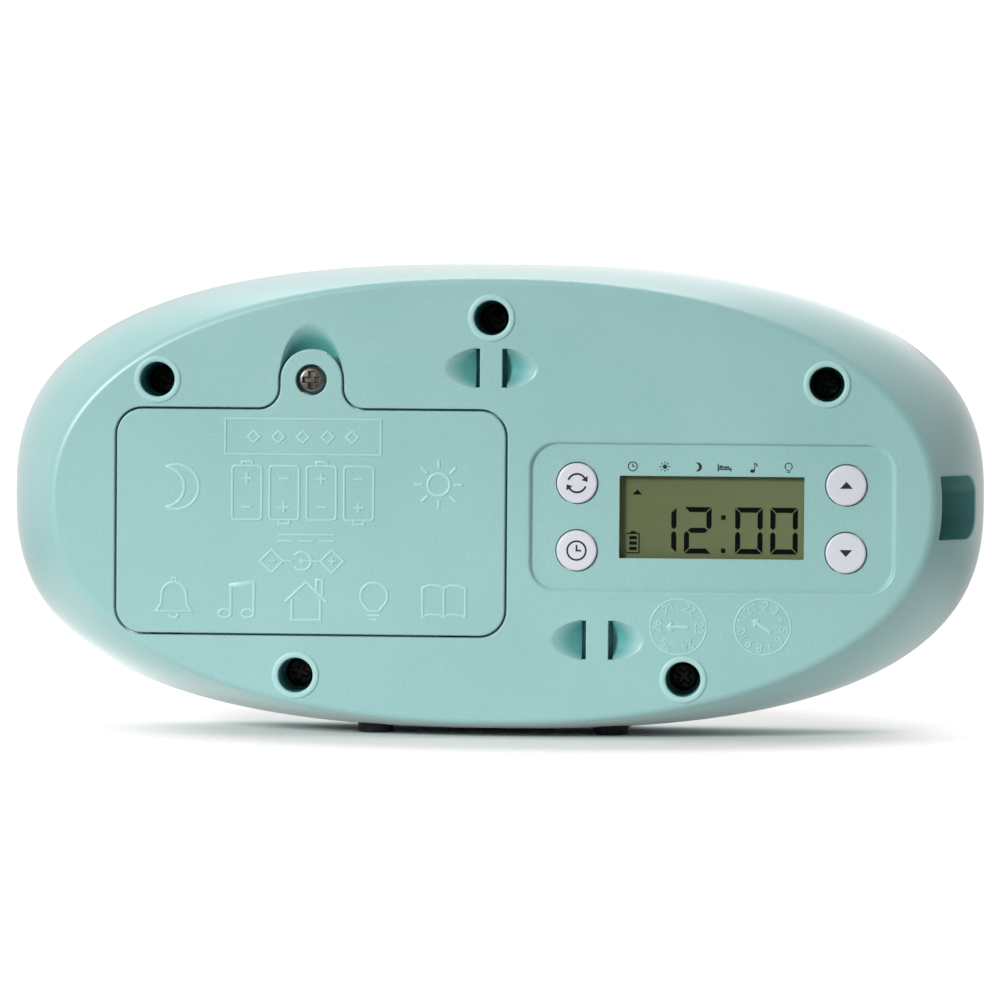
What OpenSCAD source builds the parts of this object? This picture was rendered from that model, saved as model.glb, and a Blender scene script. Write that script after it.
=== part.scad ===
// Kids alarm clock with night light: an oval, two-shell desk clock.
// The controls, the battery door and the fixing screws are on the back, and the
// domed night light is on the front. +Z is up, the front faces -Y and the back faces +Y.
// The origin is on the table, under the middle of the clock.

/* [Body] */
// Width of the widest section
body_w = 249.4; // [220:0.2:300]
// Height of the widest section
body_h = 119; // [115:1:145]
// Depth from the parting line to the flat back panel
rear_d = 40; // [34:1:50]
// Depth from the parting line to the front of the bezel
bezel_d = 20; // [16:1:26]
// Height of the night light dome in front of the bezel
dome_h = 4; // [2:0.5:8]
// Width of the flat back panel
panel_w = 222; // [200:1:260]
// Height of the flat back panel
panel_h = 111.5; // [100:0.5:135]
// Wall thickness of both housings
wall = 2.4; // [1.8:0.1:3]
// Radius that softens the edge of the back panel
panel_edge_r = 1.5; // [0.5:0.1:3]
// Height of the rubber feet below the body
foot_drop = 0.5; // [0.3:0.1:2]

/* [Case screws] */
// Outer radius of a screw well and its raised rim
well_r = 5.8; // [5.2:0.1:7]
// Inner radius of a screw well
well_bore_r = 4.35; // [3.6:0.05:5]
// Height of the rim above the back panel
rim_h = 0.5; // [0.2:0.1:1]
// Depth of a case screw's seat below the back panel
well_depth = 14.2; // [8:0.1:20]
// Radius of the front housing's screw posts
post_r = 3.6; // [3:0.1:4.5]
// Radius of a screw shank
screw_r = 1.5; // [1.2:0.1:2]

/* [Battery bay] */
// Width of the battery door
door_w = 99; // [84:0.2:110]
// Reach of the battery door past its bay, at its top and at its bottom
door_lip = 0.8; // [0.4:0.1:3]
// Thickness of the battery door
door_t = 2.2; // [1.6:0.1:3]
// Corner radius of the battery door
door_corner_r = 7; // [3:0.5:10]
// Radius of the door's screw tab
tab_r = 8.3; // [6.5:0.1:10]
// Height of the tab's screw above the door's top edge
tab_rise = 7; // [5:0.5:10]
// Gap round the battery door
door_gap = 0.55; // [0.2:0.05:0.6]
// Length of one AA cell with its contact nub
cell_l = 50.5; // [49:0.1:51]
// Diameter of one AA cell
cell_d = 14.5; // [13.5:0.1:15]
// Number of cells side by side
cell_n = 4; // [2:1:5]
// Gap between neighbouring cells
cell_gap = 0.5; // [0.2:0.1:1.5]
// Length of a compressed contact spring
spring_l = 3.8; // [2:0.1:6]

/* [Display and buttons] */
// Width of the sunk control panel
recess_w = 90.7; // [80:0.1:100]
// Height of the sunk control panel
recess_h = 36.8; // [32:0.1:44]
// Depth of the sunk control panel
recess_d = 1.2; // [0.6:0.1:2]
// Corner radius of the sunk control panel
recess_corner_r = 6.5; // [3:0.1:10]
// Width of the display opening
lcd_w = 46.2; // [38:0.1:50]
// Height of the display opening
lcd_h = 20.7; // [16:0.1:24]
// Radius of a button cap
button_r = 5.05; // [4:0.05:6]
// Height of a button cap above the sunk panel
button_proud = 0.9; // [0.4:0.1:2]
// Travel of a button
button_travel = 0.8; // [0.3:0.1:1]
// Distance between the left and right buttons
button_span_x = 67.3; // [60:0.1:74]
// Distance between the upper and lower buttons
button_span_z = 16.9; // [14:0.1:20]

/* [Night light and speaker] */
// Width of the night light opening
lens_w = 192; // [160:1:200]
// Height of the night light opening
lens_h = 66; // [50:1:68]
// Wall thickness of the night light lens
lens_t = 1.8; // [1.2:0.1:2.5]
// Depth of the reflector tray behind the lens
tray_d = 12; // [8:0.5:14]
// Width of the speaker
speaker_w = 38; // [30:1:44]
// Height of the speaker
speaker_h = 16; // [12:0.5:17]

/* [Power socket] */
// Radius of the socket's bore for a 5.5 mm plug
jack_bore_r = 3.1; // [2.8:0.05:3.4]
// Height of the plug pocket
pocket_h = 16; // [13:0.5:20]
// Depth of the plug pocket, measured along the back of the clock
pocket_d = 17; // [15:0.5:20]

/* [Hidden] */
$fn = 48;

// Small sizes that pieces share
eps = 0.01;
fit = 0.25;
shell_segments = 96;

// Stations along Y
total_d = rear_d + bezel_d + dome_h + rim_h;
panel_y = total_d / 2 - rim_h;
part_y = panel_y - rear_d;
bezel_y = part_y - bezel_d;
panel_inner_y = panel_y - wall;

// Levels along Z
body_z = foot_drop + body_h / 2;
panel_z = body_z - 0.5;
lens_z = body_z + 3;

// Sections of the body: half width, half height and roundness of each oval
body_n = 2.6;
panel_n = 2.17;
lens_n = 2.3;
side_power = 2.3;

// Case screws, as [x, z] on the back panel
well_side_x = panel_w / 2 - 27;
well_side_z = panel_z + 30;
well_top_z = panel_z + 46;
well_low_x = 48.7;
well_low_z = panel_z - 44.1;
wells = [[well_side_x, well_side_z], [-well_side_x, well_side_z], [0, well_top_z],
         [well_low_x, well_low_z], [-well_low_x, well_low_z]];
well_floor = 2.4;
seat_y = panel_y - well_depth;
post_top_y = seat_y - well_floor;
case_head_r = 3.6;
case_head_h = 2.2;
case_screw_l = 16;

// Battery door and bay
middle_x = -7.225;
middle_gap = 5.85;
door_x = middle_x + middle_gap / 2 + door_w / 2;
door_low_z = panel_z - 34.3;
tab_blend_r = 5;
contact_half = 5.6;
nub_r = 2.75;
nub_l = 1.3;
door_pocket_d = door_t + 0.2;
door_inner_y = panel_y - door_t;
ledge_y = panel_y - door_pocket_d;
ledge_t = 1.8;
cell_r = cell_d / 2;
cell_pitch = cell_d + cell_gap;
contact_t = 0.5;
bay_w = cell_n * cell_d + (cell_n - 1) * cell_gap + 1.5;
bay_h = cell_l + 2 * contact_t + spring_l + 0.5;
bay_wall = 1.6;
door_h = bay_h + 2 * door_lip;
door_z = door_low_z + door_h / 2;
tab_z = door_z + door_h / 2 + tab_rise;
cell_y = door_inner_y - 0.5 - cell_r;
bay_floor_y = cell_y - cell_r - fit;
bay_back_y = bay_floor_y - bay_wall;
cradle_y = cell_y - 3.6;
cradle_end = 8;
bay_low_z = door_z - bay_h / 2;
bay_top_z = door_z + bay_h / 2;
cell_x = [for (i = [0:cell_n - 1]) door_x + (i - (cell_n - 1) / 2) * cell_pitch];
hook_t = 1.6;
hook_reach = 3;
hook_top_y = ledge_y - ledge_t - 0.3;
hook_inner_x = bay_w / 2 + bay_wall + 1;
hook_room = rear_half_x(hook_top_y, door_low_z + door_gap - hook_reach, wall) - 2 * fit
            - door_x - hook_inner_x;
hook_w = min(7, hook_room);
hook_x = hook_inner_x + hook_w / 2;
hook_slot_h = 8;
cup_r = 5.2;
cup_bore_r = 3.9;
cup_depth = 3.9;
cup_seat_t = 1.3;
door_head_r = 3.4;
door_head_h = 2;
door_shank_l = 4.5;
door_boss_r = 4;
door_boss_top_y = panel_y - cup_depth - 0.25;
door_boss_l = 6.6;
door_boss_bore_r = 1.95;
scoop_r = 8;
scoop_h = 14;
scoop_low_z = tab_z + tab_r - 2.2;
scoop_side_z = tab_z + 2.6;

// Control panel
recess_x = middle_x - middle_gap / 2 - recess_w / 2;
recess_z = panel_z - 3.6;
recess_y = panel_y - recess_d;
recess_wall = 1.6;
recess_inner_y = recess_y - recess_wall;
button_z = panel_z - 3.65;
button_hole_r = button_r + fit;
button_flange_r = button_r + 1.25;
button_flange_t = 1.2;
button_top_y = recess_y + button_proud;
button_flange_y = recess_inner_y - 0.15;
stem_r = 2;
button_points = [[recess_x + button_span_x / 2 + 0.1, button_z + button_span_z / 2],
                 [recess_x + button_span_x / 2 + 0.1, button_z - button_span_z / 2],
                 [recess_x - button_span_x / 2 + 0.1, button_z + button_span_z / 2],
                 [recess_x - button_span_x / 2 + 0.1, button_z - button_span_z / 2]];

// Display stack, from the window inward
window_t = 0.8;
window_y = recess_inner_y - 0.05;
window_margin = 2;
lcd_t = 2.6;
lcd_y = window_y - window_t - 0.05;
lcd_margin = 1.5;
holder_h = 3.8;
holder_y = lcd_y - lcd_t;
board_top_y = holder_y - holder_h;
board_t = 1.6;
board_low_y = board_top_y - board_t;
board_w = 78;
board_h = 47;
board_x = recess_x + 2.2;
board_z = recess_z - 0.2;
board_post_x = board_w / 2 - 2.8;
board_post_z = board_h / 2 - 2.8;
board_posts = [for (i = [-1, 1], j = [-1, 1])
               [board_x + i * board_post_x, board_z + j * board_post_z]];
switch_w = 6.2;
switch_h = 3.5;
plunger_r = 1.75;
plunger_l = 2.5;
plunger_top_y = board_top_y + switch_h + button_travel + 0.1;

// Strap anchors: centre of each on the back panel
anchors = [[0, panel_z + 33.4], [-27.1, panel_z - 34.5]];
anchor_w = 22.9;
anchor_h = 10.7;
anchor_bar_w = 5.6;
anchor_bar_t = 2;
anchor_slot = 1.1;
anchor_tunnel_d = 5.4;
scoop_wall = 1.6;

// Power socket
pocket_y = panel_y - 3 - pocket_d / 2;
pocket_z = panel_z - 0.8;
pocket_corner_r = 5;
pocket_back_x = -106.5;
pocket_wall = 1.8;
jack_w = 10;
jack_h = 11;
jack_l = 11.9;
jack_bore_l = 9.5;
jack_pin_r = 1.05;
jack_nose_r = 5;

// Night light
lens_flange = 3;
lens_gap = 0.3;
flange_y = bezel_y + wall + 0.55;
flange_t = 1.6;
mask_t = 0.6;
mask_y = flange_y + flange_t;
tray_y = mask_y + mask_t;
tray_wall = 1.6;
tray_flange_t = 1.8;
tray_back_y = tray_y + tray_d;
tray_inset = 9;
ear_side_x = lens_w / 2 + 8.5;
ear_r = 3.6;
ear_gap = 1.35;
ear_low_x = lens_w / 2 - 34;
ear_low_z = lens_z - ear_r - ear_gap
            - oval_half(lens_h / 2 + lens_flange, ear_low_x / (lens_w / 2 + lens_flange), lens_n);
ears = [[ear_side_x, lens_z], [-ear_side_x, lens_z], [ear_low_x, ear_low_z],
        [-ear_low_x, ear_low_z]];
ear_inward_x = 0.92;
ear_inward_z = 0.75;
ear_shank_r = 1.1;
ear_head_r = 2.1;
ear_head_h = 1.5;
ear_screw_l = 4.2;
sun_x = 40;
moon_x = -40;
led_board_t = 1.6;
led_board_w = 120;
led_board_h = 26;
led_r = 2.5;
led_l = 3.2;
leds = [for (x = [-56, -40, -24, 24, 40, 56]) [x, lens_z]];
led_pegs = [[50, lens_z + 8], [-50, lens_z + 8]];

// Speaker, which stands just above the front housing's lower wall
speaker_y = bezel_y + 10.4;
speaker_gap = 1.4;
speaker_share = 1 - cos(asin((part_y - speaker_y) / (bezel_d - wall)));
speaker_floor_z = body_z - body_h / 2 + wall
                  + speaker_share * (lens_z - body_z + body_h / 2 - wall - lens_h / 2);
speaker_z = speaker_floor_z + speaker_gap + speaker_h / 2;
gasket_t = 0.8;
speaker_flange_t = 1.2;
speaker_basket_d = 6;
basket_w = speaker_w - 10;
basket_h = speaker_h - 5;
magnet_r = 6.5;
magnet_t = 5;
bracket_t = 1.4;
bracket_x = speaker_w / 2 + 4.6;
bracket_post_r = 3;
grille_hole_r = 1;
grille_pitch = 4.6;

// Feet, which reach a set depth into the body where it curves up at the back
foot_r = 4.5;
foot_x = 30;
foot_rear_y = 12;
foot_front_y = -14;
foot_pad_r = 6;
foot_depth = 1.45;
foot_h = rear_low_z(foot_x, foot_rear_y) + foot_depth;

// ---------------------------------------------------------------- shapes

// Half height b of a superellipse at share x of its half width; it serves for widths too
function oval_half(b, x, n) = b * pow(1 - pow(x, n), 1 / n);

// Share of the way to the back panel's section at depth y of the rear housing
function rear_share(y) = pow((y - part_y) / rear_d, side_power);

// Half width of the rear housing at depth y and level z, and its lowest level at x and y
function rear_half_x(y, z, skin) =
    let (s = rear_share(y), b = body_h / 2 - skin - s * (body_h - panel_h) / 2)
    oval_half(body_w / 2 - skin - s * (body_w - panel_w) / 2,
              abs(z - body_z + s * (body_z - panel_z)) / b, body_n - s * (body_n - panel_n));
function rear_low_z(x, y) =
    let (s = rear_share(y), a = body_w / 2 - s * (body_w - panel_w) / 2)
    body_z - s * (body_z - panel_z)
    - oval_half(body_h / 2 - s * (body_h - panel_h) / 2, x / a, body_n - s * (body_n - panel_n));

// One oval ring in a plane of constant Y, as a superellipse
function oval(a, b, n, y, z) =
    [for (i = [0:shell_segments - 1])
        let (t = 360 * i / shell_segments,
             k = pow(pow(abs(cos(t)), n) + pow(abs(sin(t)), n), -1 / n))
        [a * k * cos(t), y, z + b * k * sin(t)]];

// Solid through a list of rings, from front to back
module loft(rings) {
    n = shell_segments;
    m = len(rings);
    sides = [for (j = [0:m - 2], i = [0:n - 1])
             [j * n + i, j * n + (i + 1) % n, (j + 1) * n + (i + 1) % n, (j + 1) * n + i]];
    front = [for (i = [n - 1:-1:0]) i];
    back = [for (i = [0:n - 1]) (m - 1) * n + i];
    polyhedron([for (r = rings) each r], concat([front], sides, [back]), convexity = 6);
}

// Ring of the rear housing at share u of the way to the back panel, moved in by skin
function rear_ring(u, skin) =
    let (s = pow(u, side_power))
    oval(body_w / 2 - skin - s * (body_w - panel_w) / 2,
         body_h / 2 - skin - s * (body_h - panel_h) / 2,
         body_n - s * (body_n - panel_n),
         part_y + u * rear_d,
         body_z - s * (body_z - panel_z));

// The side wall, and a soft edge that starts along the wall and ends along the flat panel:
// at each point round the body a quadratic curve from the wall through the corner
module rear_outer() {
    wall_end = 1 - panel_edge_r / rear_d;
    start = rear_ring(wall_end, 0);
    corner = rear_ring(1, 0);
    end = oval(panel_w / 2 - panel_edge_r, panel_h / 2 - panel_edge_r, panel_n, panel_y, panel_z);
    walls = [for (u = [0, 0.2, 0.38, 0.54, 0.68, 0.8, 0.9]) rear_ring(u, 0)];
    edge = [for (w = [0, 0.34, 0.67, 1])
            [for (i = [0:shell_segments - 1])
             (1 - w) * (1 - w) * start[i] + 2 * w * (1 - w) * corner[i] + w * w * end[i]]];
    loft(concat(walls, edge));
}

module rear_inner() {
    top = 1 - wall / rear_d;
    rings = [for (u = [0, 0.25, 0.5, 0.75, 1]) rear_ring(u * top, wall)];
    start = rear_ring(0, wall);
    loft(concat([[for (p = start) [p[0], p[1] - eps, p[2]]]], rings));
}

// Ring of the front housing at angle q of its quarter-round profile
function front_ring(q, skin) =
    let (s = 1 - cos(q))
    oval(body_w / 2 - skin - s * (body_w / 2 - skin - lens_w / 2),
         body_h / 2 - skin - s * (body_h / 2 - skin - lens_h / 2),
         body_n - s * (body_n - lens_n),
         part_y - (bezel_d - skin) * sin(q),
         body_z + s * (lens_z - body_z));

module front_outer() {
    loft([for (q = [90, 78, 66, 54, 42, 30, 18, 9, 0]) front_ring(q, 0)]);
}

module front_inner() {
    rings = [for (q = [90, 75, 60, 45, 30, 15, 0]) front_ring(q, wall)];
    start = front_ring(0, wall);
    loft(concat(rings, [[for (p = start) [p[0], p[1] + eps, p[2]]]]));
}

// Straight oval plate or plug of the night light's outline, from y0 to y1
module lens_oval(grow, y0, y1) {
    loft([oval(lens_w / 2 + grow, lens_h / 2 + grow, lens_n, y0, lens_z),
          oval(lens_w / 2 + grow, lens_h / 2 + grow, lens_n, y1, lens_z)]);
}

// Cylinder along Y from y0 to y1 at [x, z]
module rod(at, r, y0, y1) {
    translate([at[0], y1, at[1]]) rotate([90, 0, 0]) cylinder(h = y1 - y0, r = r);
}

// Extrusion along Y of a shape drawn in X and Z
module slab(y0, y1) {
    translate([0, y1, 0]) rotate([90, 0, 0]) linear_extrude(y1 - y0) children();
}

// Box between two corners
module block(low, high) {
    translate(low) cube([high[0] - low[0], high[1] - low[1], high[2] - low[2]]);
}

// Points of an arc about centre c, from angle q0 to q1
function arc(c, r, q0, q1, steps = 10) =
    [for (i = [0:steps]) let (q = q0 + (q1 - q0) * i / steps)
        [c[0] + r * cos(q), c[1] + r * sin(q)]];

module round_rect(w, h, r) {
    x = w / 2 - r;
    z = h / 2 - r;
    polygon(concat(arc([x, z], r, 0, 90), arc([-x, z], r, 90, 180),
                   arc([-x, -z], r, 180, 270), arc([x, -z], r, 270, 360)));
}

// Outline of the battery door in X and Z, moved in by inset
module door_outline(inset) {
    w = door_w / 2 - inset;
    h = door_h / 2 - inset;
    r = door_corner_r - inset;
    tr = tab_r - inset;
    br = tab_blend_r + inset;
    tz = tab_z - door_z;
    translate([door_x, door_z])
        polygon(concat(arc([w - r, -(h - r)], r, -90, 0), arc([w - r, h - r], r, 0, 90),
                       arc([tr + br, h + br], br, 270, 180), arc([0, tz], tr, 0, 180, 24),
                       arc([-(tr + br), h + br], br, 0, -90),
                       arc([-(w - r), h - r], r, 90, 180),
                       arc([-(w - r), -(h - r)], r, 180, 270)));
}

// A screw along Y: its head lies behind y, its shank runs towards -Y
module screw(at, y, head_r, head_h, shank_r, shank_l) {
    difference() {
        union() {
            rod(at, head_r, y, y + head_h);
            rod(at, shank_r, y - shank_l, y + eps);
        }
        slab(y + head_h * 0.4, y + head_h + 1) translate(at) cross(head_r * 0.62, head_r * 0.22);
    }
}

// Cross-shaped driver recess
module cross(arm, half) {
    square([2 * arm, 2 * half], center = true);
    square([2 * half, 2 * arm], center = true);
}

// Tube along a route: one ring of sides points at each route point. The route never runs
// along up, which sets how the rings are turned.
module lead(route, r, up = [0, 0.2, 1]) {
    sides = 8;
    m = len(route);
    function dir(i) = let (a = route[max(i - 1, 0)], b = route[min(i + 1, m - 1)])
        (b - a) / norm(b - a);
    rings = [for (i = [0:m - 1])
             let (d = dir(i), u = cross_unit(d, up), v = cross(u, d))
             [for (k = [0:sides - 1]) let (q = 360 * k / sides)
                 route[i] + r * (cos(q) * u + sin(q) * v)]];
    faces = [for (j = [0:m - 2], i = [0:sides - 1])
             [j * sides + i, j * sides + (i + 1) % sides,
              (j + 1) * sides + (i + 1) % sides, (j + 1) * sides + i]];
    polyhedron([for (g = rings) each g],
               concat([[for (i = [sides - 1:-1:0]) i]], faces,
                      [[for (i = [0:sides - 1]) (m - 1) * sides + i]]));
}

function cross_unit(a, b) = cross(a, b) / norm(cross(a, b));

// Smooth route through hand-chosen points
function bend(p, i, t) =
    let (a = p[max(i - 1, 0)], b = p[i], c = p[i + 1], d = p[min(i + 2, len(p) - 1)])
    0.5 * (2 * b + (c - a) * t + (2 * a - 5 * b + 4 * c - d) * t * t
           + (3 * b - a - 3 * c + d) * t * t * t);
function route(p, steps = 4) =
    concat([for (i = [0:len(p) - 2], k = [0:steps - 1]) bend(p, i, k / steps)],
           [p[len(p) - 1]]);

// ---------------------------------------------------------------- housings

module rear_housing() {
    color("#9cc8c8") {
        rear_shell();
        cell_cradles();
    }
}

// Ridges between the cells, over the middle of the bay's floor
module cell_cradles() {
    difference() {
        block([door_x - bay_w / 2, bay_floor_y - eps, bay_low_z + cradle_end],
              [door_x + bay_w / 2, cradle_y, bay_top_z - cradle_end]);
        for (x = cell_x)
            translate([x, cell_y, bay_low_z]) cylinder(h = bay_h, r = cell_r + fit);
    }
}

module rear_shell() {
    difference() {
        union() {
            difference() {
                rear_outer();
                rear_inner();
            }
            intersection() {
                rear_outer();
                rear_ribs();
            }
            for (p = wells) rod(p, well_r, post_top_y, panel_y + rim_h);
            for (p = board_posts) rod(p, 2.6, board_top_y, panel_inner_y + 1);
        }
        for (p = wells) rod(p, well_bore_r, seat_y, panel_y + rim_h + 1);
        for (p = wells) rod(p, screw_r + fit, post_top_y - 1, seat_y + 1);
        for (p = board_posts) rod(p, ear_shank_r + 0.05, board_top_y - 1, panel_inner_y - 0.6);
        door_cuts();
        control_cuts();
        for (p = anchors) anchor_cuts(p);
        pocket_cut();
        foot_sockets(foot_rear_y);
    }
}

// Everything moulded inside the rear housing, before it is trimmed to the outer shape
module rear_ribs() {
    reach = bay_w / 2 + bay_wall;
    block([door_x - reach, bay_back_y, bay_low_z - bay_wall],
          [door_x + reach, panel_inner_y + 1, bay_top_z + bay_wall]);
    slab(ledge_y - ledge_t, panel_inner_y + 1) door_outline(-3);
    rod([door_x, tab_z], door_boss_r, door_boss_top_y - door_boss_l, ledge_y - 1);
    intersection() {
        thumb_scoop(scoop_wall);
        block([door_x - scoop_h, panel_y - scoop_h, scoop_low_z - scoop_wall],
              [door_x + scoop_h, panel_y, tab_z + 2 * scoop_h]);
    }
    slab(recess_inner_y, panel_inner_y + 1)
        translate([recess_x, recess_z]) round_rect(recess_w + 5, recess_h + 5, recess_corner_r);
    for (p = anchors) {
        half_x = anchor_bar_w / 2 + anchor_slot + scoop_wall;
        half_z = anchor_h / 2 + scoop_wall;
        block([p[0] - half_x, panel_y - anchor_tunnel_d - scoop_wall, p[1] - half_z],
              [p[0] + half_x, panel_inner_y + 1, p[1] + half_z]);
        for (side = [-1, 1]) anchor_scoop(p, side, scoop_wall);
    }
    block([-body_w / 2, pocket_y - pocket_d / 2 - pocket_wall, pocket_z - pocket_h / 2 - pocket_wall],
          [pocket_back_x + pocket_wall, panel_y, pocket_z + pocket_h / 2 + pocket_wall]);
    for (x = [-foot_x, foot_x])
        translate([x, foot_rear_y, 0]) cylinder(h = foot_h + 3.4, r = foot_pad_r);
}

// Long cylinder through a point of the back panel, in the XY plane. It leans so that it
// cuts the panel in an ellipse that is 2 * reach long and 2 * r wide.
module leaning_rod(r, reach, grow) {
    rotate([0, 0, asin(r / reach)]) rotate([0, 90, 0])
        cylinder(h = 6 * reach, r = r + grow, center = true);
}

// Round scoop that a thumb uses to lift the door's tab; it deepens towards the tab
module thumb_scoop(grow) {
    translate([door_x, panel_y, tab_z]) rotate([0, -90, 0]) leaning_rod(scoop_r, scoop_h, grow);
}

// One of the two scoops of a strap anchor, on its left (-1) or right (1) side of the bar
module anchor_scoop(p, side, grow) {
    slot_x = anchor_bar_w / 2 + anchor_slot;
    intersection() {
        translate([p[0], panel_y, p[1]]) mirror([side < 0 ? 1 : 0, 0, 0])
            leaning_rod(anchor_h / 2, anchor_w / 2, grow);
        block([p[0] + (side > 0 ? slot_x - grow : -anchor_w), panel_y - anchor_w, p[1] - anchor_h],
              [p[0] + (side > 0 ? anchor_w : grow - slot_x), panel_y + 1, p[1] + anchor_h]);
    }
}

module door_cuts() {
    slab(ledge_y, panel_y + 1) door_outline(0);
    block([door_x - bay_w / 2, bay_floor_y, bay_low_z],
          [door_x + bay_w / 2, panel_y + 1, bay_top_z]);
    for (s = [-1, 1])
        block([door_x + s * hook_x - hook_w / 2 - 0.5, ledge_y - ledge_t - 1, door_z - door_h / 2],
              [door_x + s * hook_x + hook_w / 2 + 0.5, ledge_y + 1,
               door_z - door_h / 2 + hook_slot_h]);
    rod([door_x, tab_z], cup_r + 0.4, door_boss_top_y, ledge_y + 1);
    rod([door_x, tab_z], door_boss_bore_r, door_boss_top_y - door_boss_l + 1.2,
        door_boss_top_y + 1);
    intersection() {
        thumb_scoop(0);
        union() {
            block([door_x - scoop_h, panel_y - scoop_h, scoop_low_z],
                  [door_x + scoop_h, panel_y + 1, tab_z + 2 * scoop_h]);
            // beside the tab the scoop fades out along the tab's round edge
            block([door_x - scoop_h, ledge_y + 0.1, scoop_side_z],
                  [door_x + scoop_h, panel_y + 1, scoop_low_z + 1]);
        }
    }
}

module control_cuts() {
    slab(recess_y, panel_y + 1)
        translate([recess_x, recess_z]) round_rect(recess_w, recess_h, recess_corner_r);
    block([recess_x - lcd_w / 2, recess_inner_y - 1, recess_z - lcd_h / 2],
          [recess_x + lcd_w / 2, recess_y + 1, recess_z + lcd_h / 2]);
    for (p = button_points) rod(p, button_hole_r, recess_inner_y - 1, recess_y + 1);
}

// Two round scoops that slope down to a bar, with a slot on each side of the bar and a
// tunnel under it for a strap
module anchor_cuts(p) {
    slot_x = anchor_bar_w / 2 + anchor_slot;
    half_z = anchor_h / 2 - 0.5;
    for (side = [-1, 1]) {
        anchor_scoop(p, side, 0);
        x = p[0] + side * (anchor_bar_w + anchor_slot) / 2;
        block([x - anchor_slot / 2, panel_y - anchor_tunnel_d, p[1] - half_z],
              [x + anchor_slot / 2, panel_y + 1, p[1] + half_z]);
    }
    block([p[0] - slot_x, panel_y - anchor_tunnel_d, p[1] - half_z],
          [p[0] + slot_x, panel_y - anchor_bar_t, p[1] + half_z]);
}

module pocket_cut() {
    r = pocket_corner_r;
    y0 = pocket_y - pocket_d / 2;
    translate([pocket_back_x, pocket_y, pocket_z])
        rotate([0, -90, 0]) linear_extrude(body_w / 2)
            polygon(concat([[-pocket_h / 2, pocket_d / 2], [pocket_h / 2, pocket_d / 2]],
                           arc([pocket_h / 2 - r, -pocket_d / 2 + r], r, 0, -90),
                           arc([-pocket_h / 2 + r, -pocket_d / 2 + r], r, -90, -180)));
    translate([pocket_back_x - 1, pocket_y, pocket_z])
        rotate([0, 90, 0]) cylinder(h = pocket_wall + 2, r = jack_nose_r + 0.1);
}

module foot_sockets(y) {
    for (x = [-foot_x, foot_x])
        translate([x, y, -1]) cylinder(h = foot_h + 1, r = foot_r + 0.1);
}

module front_housing() {
    color("#9cc8c8") difference() {
        union() {
            difference() {
                front_outer();
                front_inner();
            }
            intersection() {
                front_outer();
                front_ribs();
            }
            for (p = wells) rod(p, post_r, part_y, post_top_y);
        }
        for (p = wells) rod(p, screw_r + 0.05, post_top_y - case_screw_l, post_top_y + 1);
        for (p = ears) rod(p, ear_shank_r + 0.05, tray_y - 2.6, tray_y + 1);
        for (s = [-1, 1])
            rod([s * bracket_x, speaker_z], ear_shank_r + 0.05, speaker_y - 3, speaker_y + 9);
        lens_oval(0, bezel_y - 1, bezel_y + wall + 0.2);
        for (row = [-1:1], i = [-3:3])
            rod([(i + row * 0.5) * grille_pitch, speaker_z + row * 3.9],
                grille_hole_r, bezel_y - 1, speaker_y - 1);
        foot_sockets(foot_front_y);
    }
}

module front_ribs() {
    for (p = wells) rod(p, post_r, bezel_y, part_y);
    for (p = ears) rod(p, ear_r, bezel_y, tray_y);
    difference() {
        slab(bezel_y, speaker_y) translate([0, speaker_z]) stadium(speaker_w, speaker_h);
        slab(bezel_y - 1, speaker_y + 1)
            translate([0, speaker_z]) stadium(speaker_w - 4, speaker_h - 4);
    }
    for (s = [-1, 1])
        rod([s * bracket_x, speaker_z], bracket_post_r, bezel_y,
            speaker_y + gasket_t + speaker_flange_t);
    for (x = [-foot_x, foot_x])
        translate([x, foot_front_y, 0]) cylinder(h = foot_h + 4.6, r = foot_pad_r);
}

// Plate with round ends, drawn in X and Z
module stadium(w, h) {
    square([w - h, h], center = true);
    for (s = [-1, 1]) translate([s * (w - h) / 2, 0]) circle(d = h);
}

// ---------------------------------------------------------------- battery bay

module battery_door() {
    tab = [door_x, tab_z];
    color("#9cc8c8") difference() {
        union() {
            slab(door_inner_y, panel_y) door_outline(door_gap);
            rod(tab, cup_r, panel_y - cup_depth, door_inner_y + 1);
            for (s = [-1, 1]) {
                x0 = door_x + s * hook_x - hook_w / 2;
                z0 = door_z - door_h / 2 + door_gap;
                block([x0, hook_top_y - hook_t, z0 + 0.5], [x0 + hook_w, door_inner_y + 0.5, z0 + 2.1]);
                block([x0, hook_top_y - hook_t, z0 - hook_reach], [x0 + hook_w, hook_top_y, z0 + 2.1]);
            }
        }
        rod(tab, cup_bore_r, panel_y - cup_depth + cup_seat_t, panel_y + 1);
        rod(tab, screw_r + fit, panel_y - cup_depth - 1, panel_y);
    }
}

module door_screw() {
    color("silver")
        screw([door_x, tab_z], panel_y - cup_depth + cup_seat_t, door_head_r, door_head_h,
              screw_r, door_shank_l);
}

module case_screws() {
    color("#202020")
        for (p = wells) screw(p, seat_y, case_head_r, case_head_h, screw_r, case_screw_l);
}

// Cells stand upright and alternate; odd ones have their nub at the bottom
module battery_cells() {
    body_l = cell_l - nub_l;
    low = bay_low_z + contact_t + fit;
    high = bay_top_z - contact_t - fit;
    color("#d8dde0")
        for (i = [0:cell_n - 1]) {
            up = i % 2 == 0;
            translate([cell_x[i], cell_y, up ? high - cell_l : low]) {
                translate([0, 0, up ? 0 : nub_l]) cylinder(h = body_l, r = cell_r);
                translate([0, 0, up ? body_l - eps : 0]) cylinder(h = nub_l + eps, r = nub_r);
            }
        }
}

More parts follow.
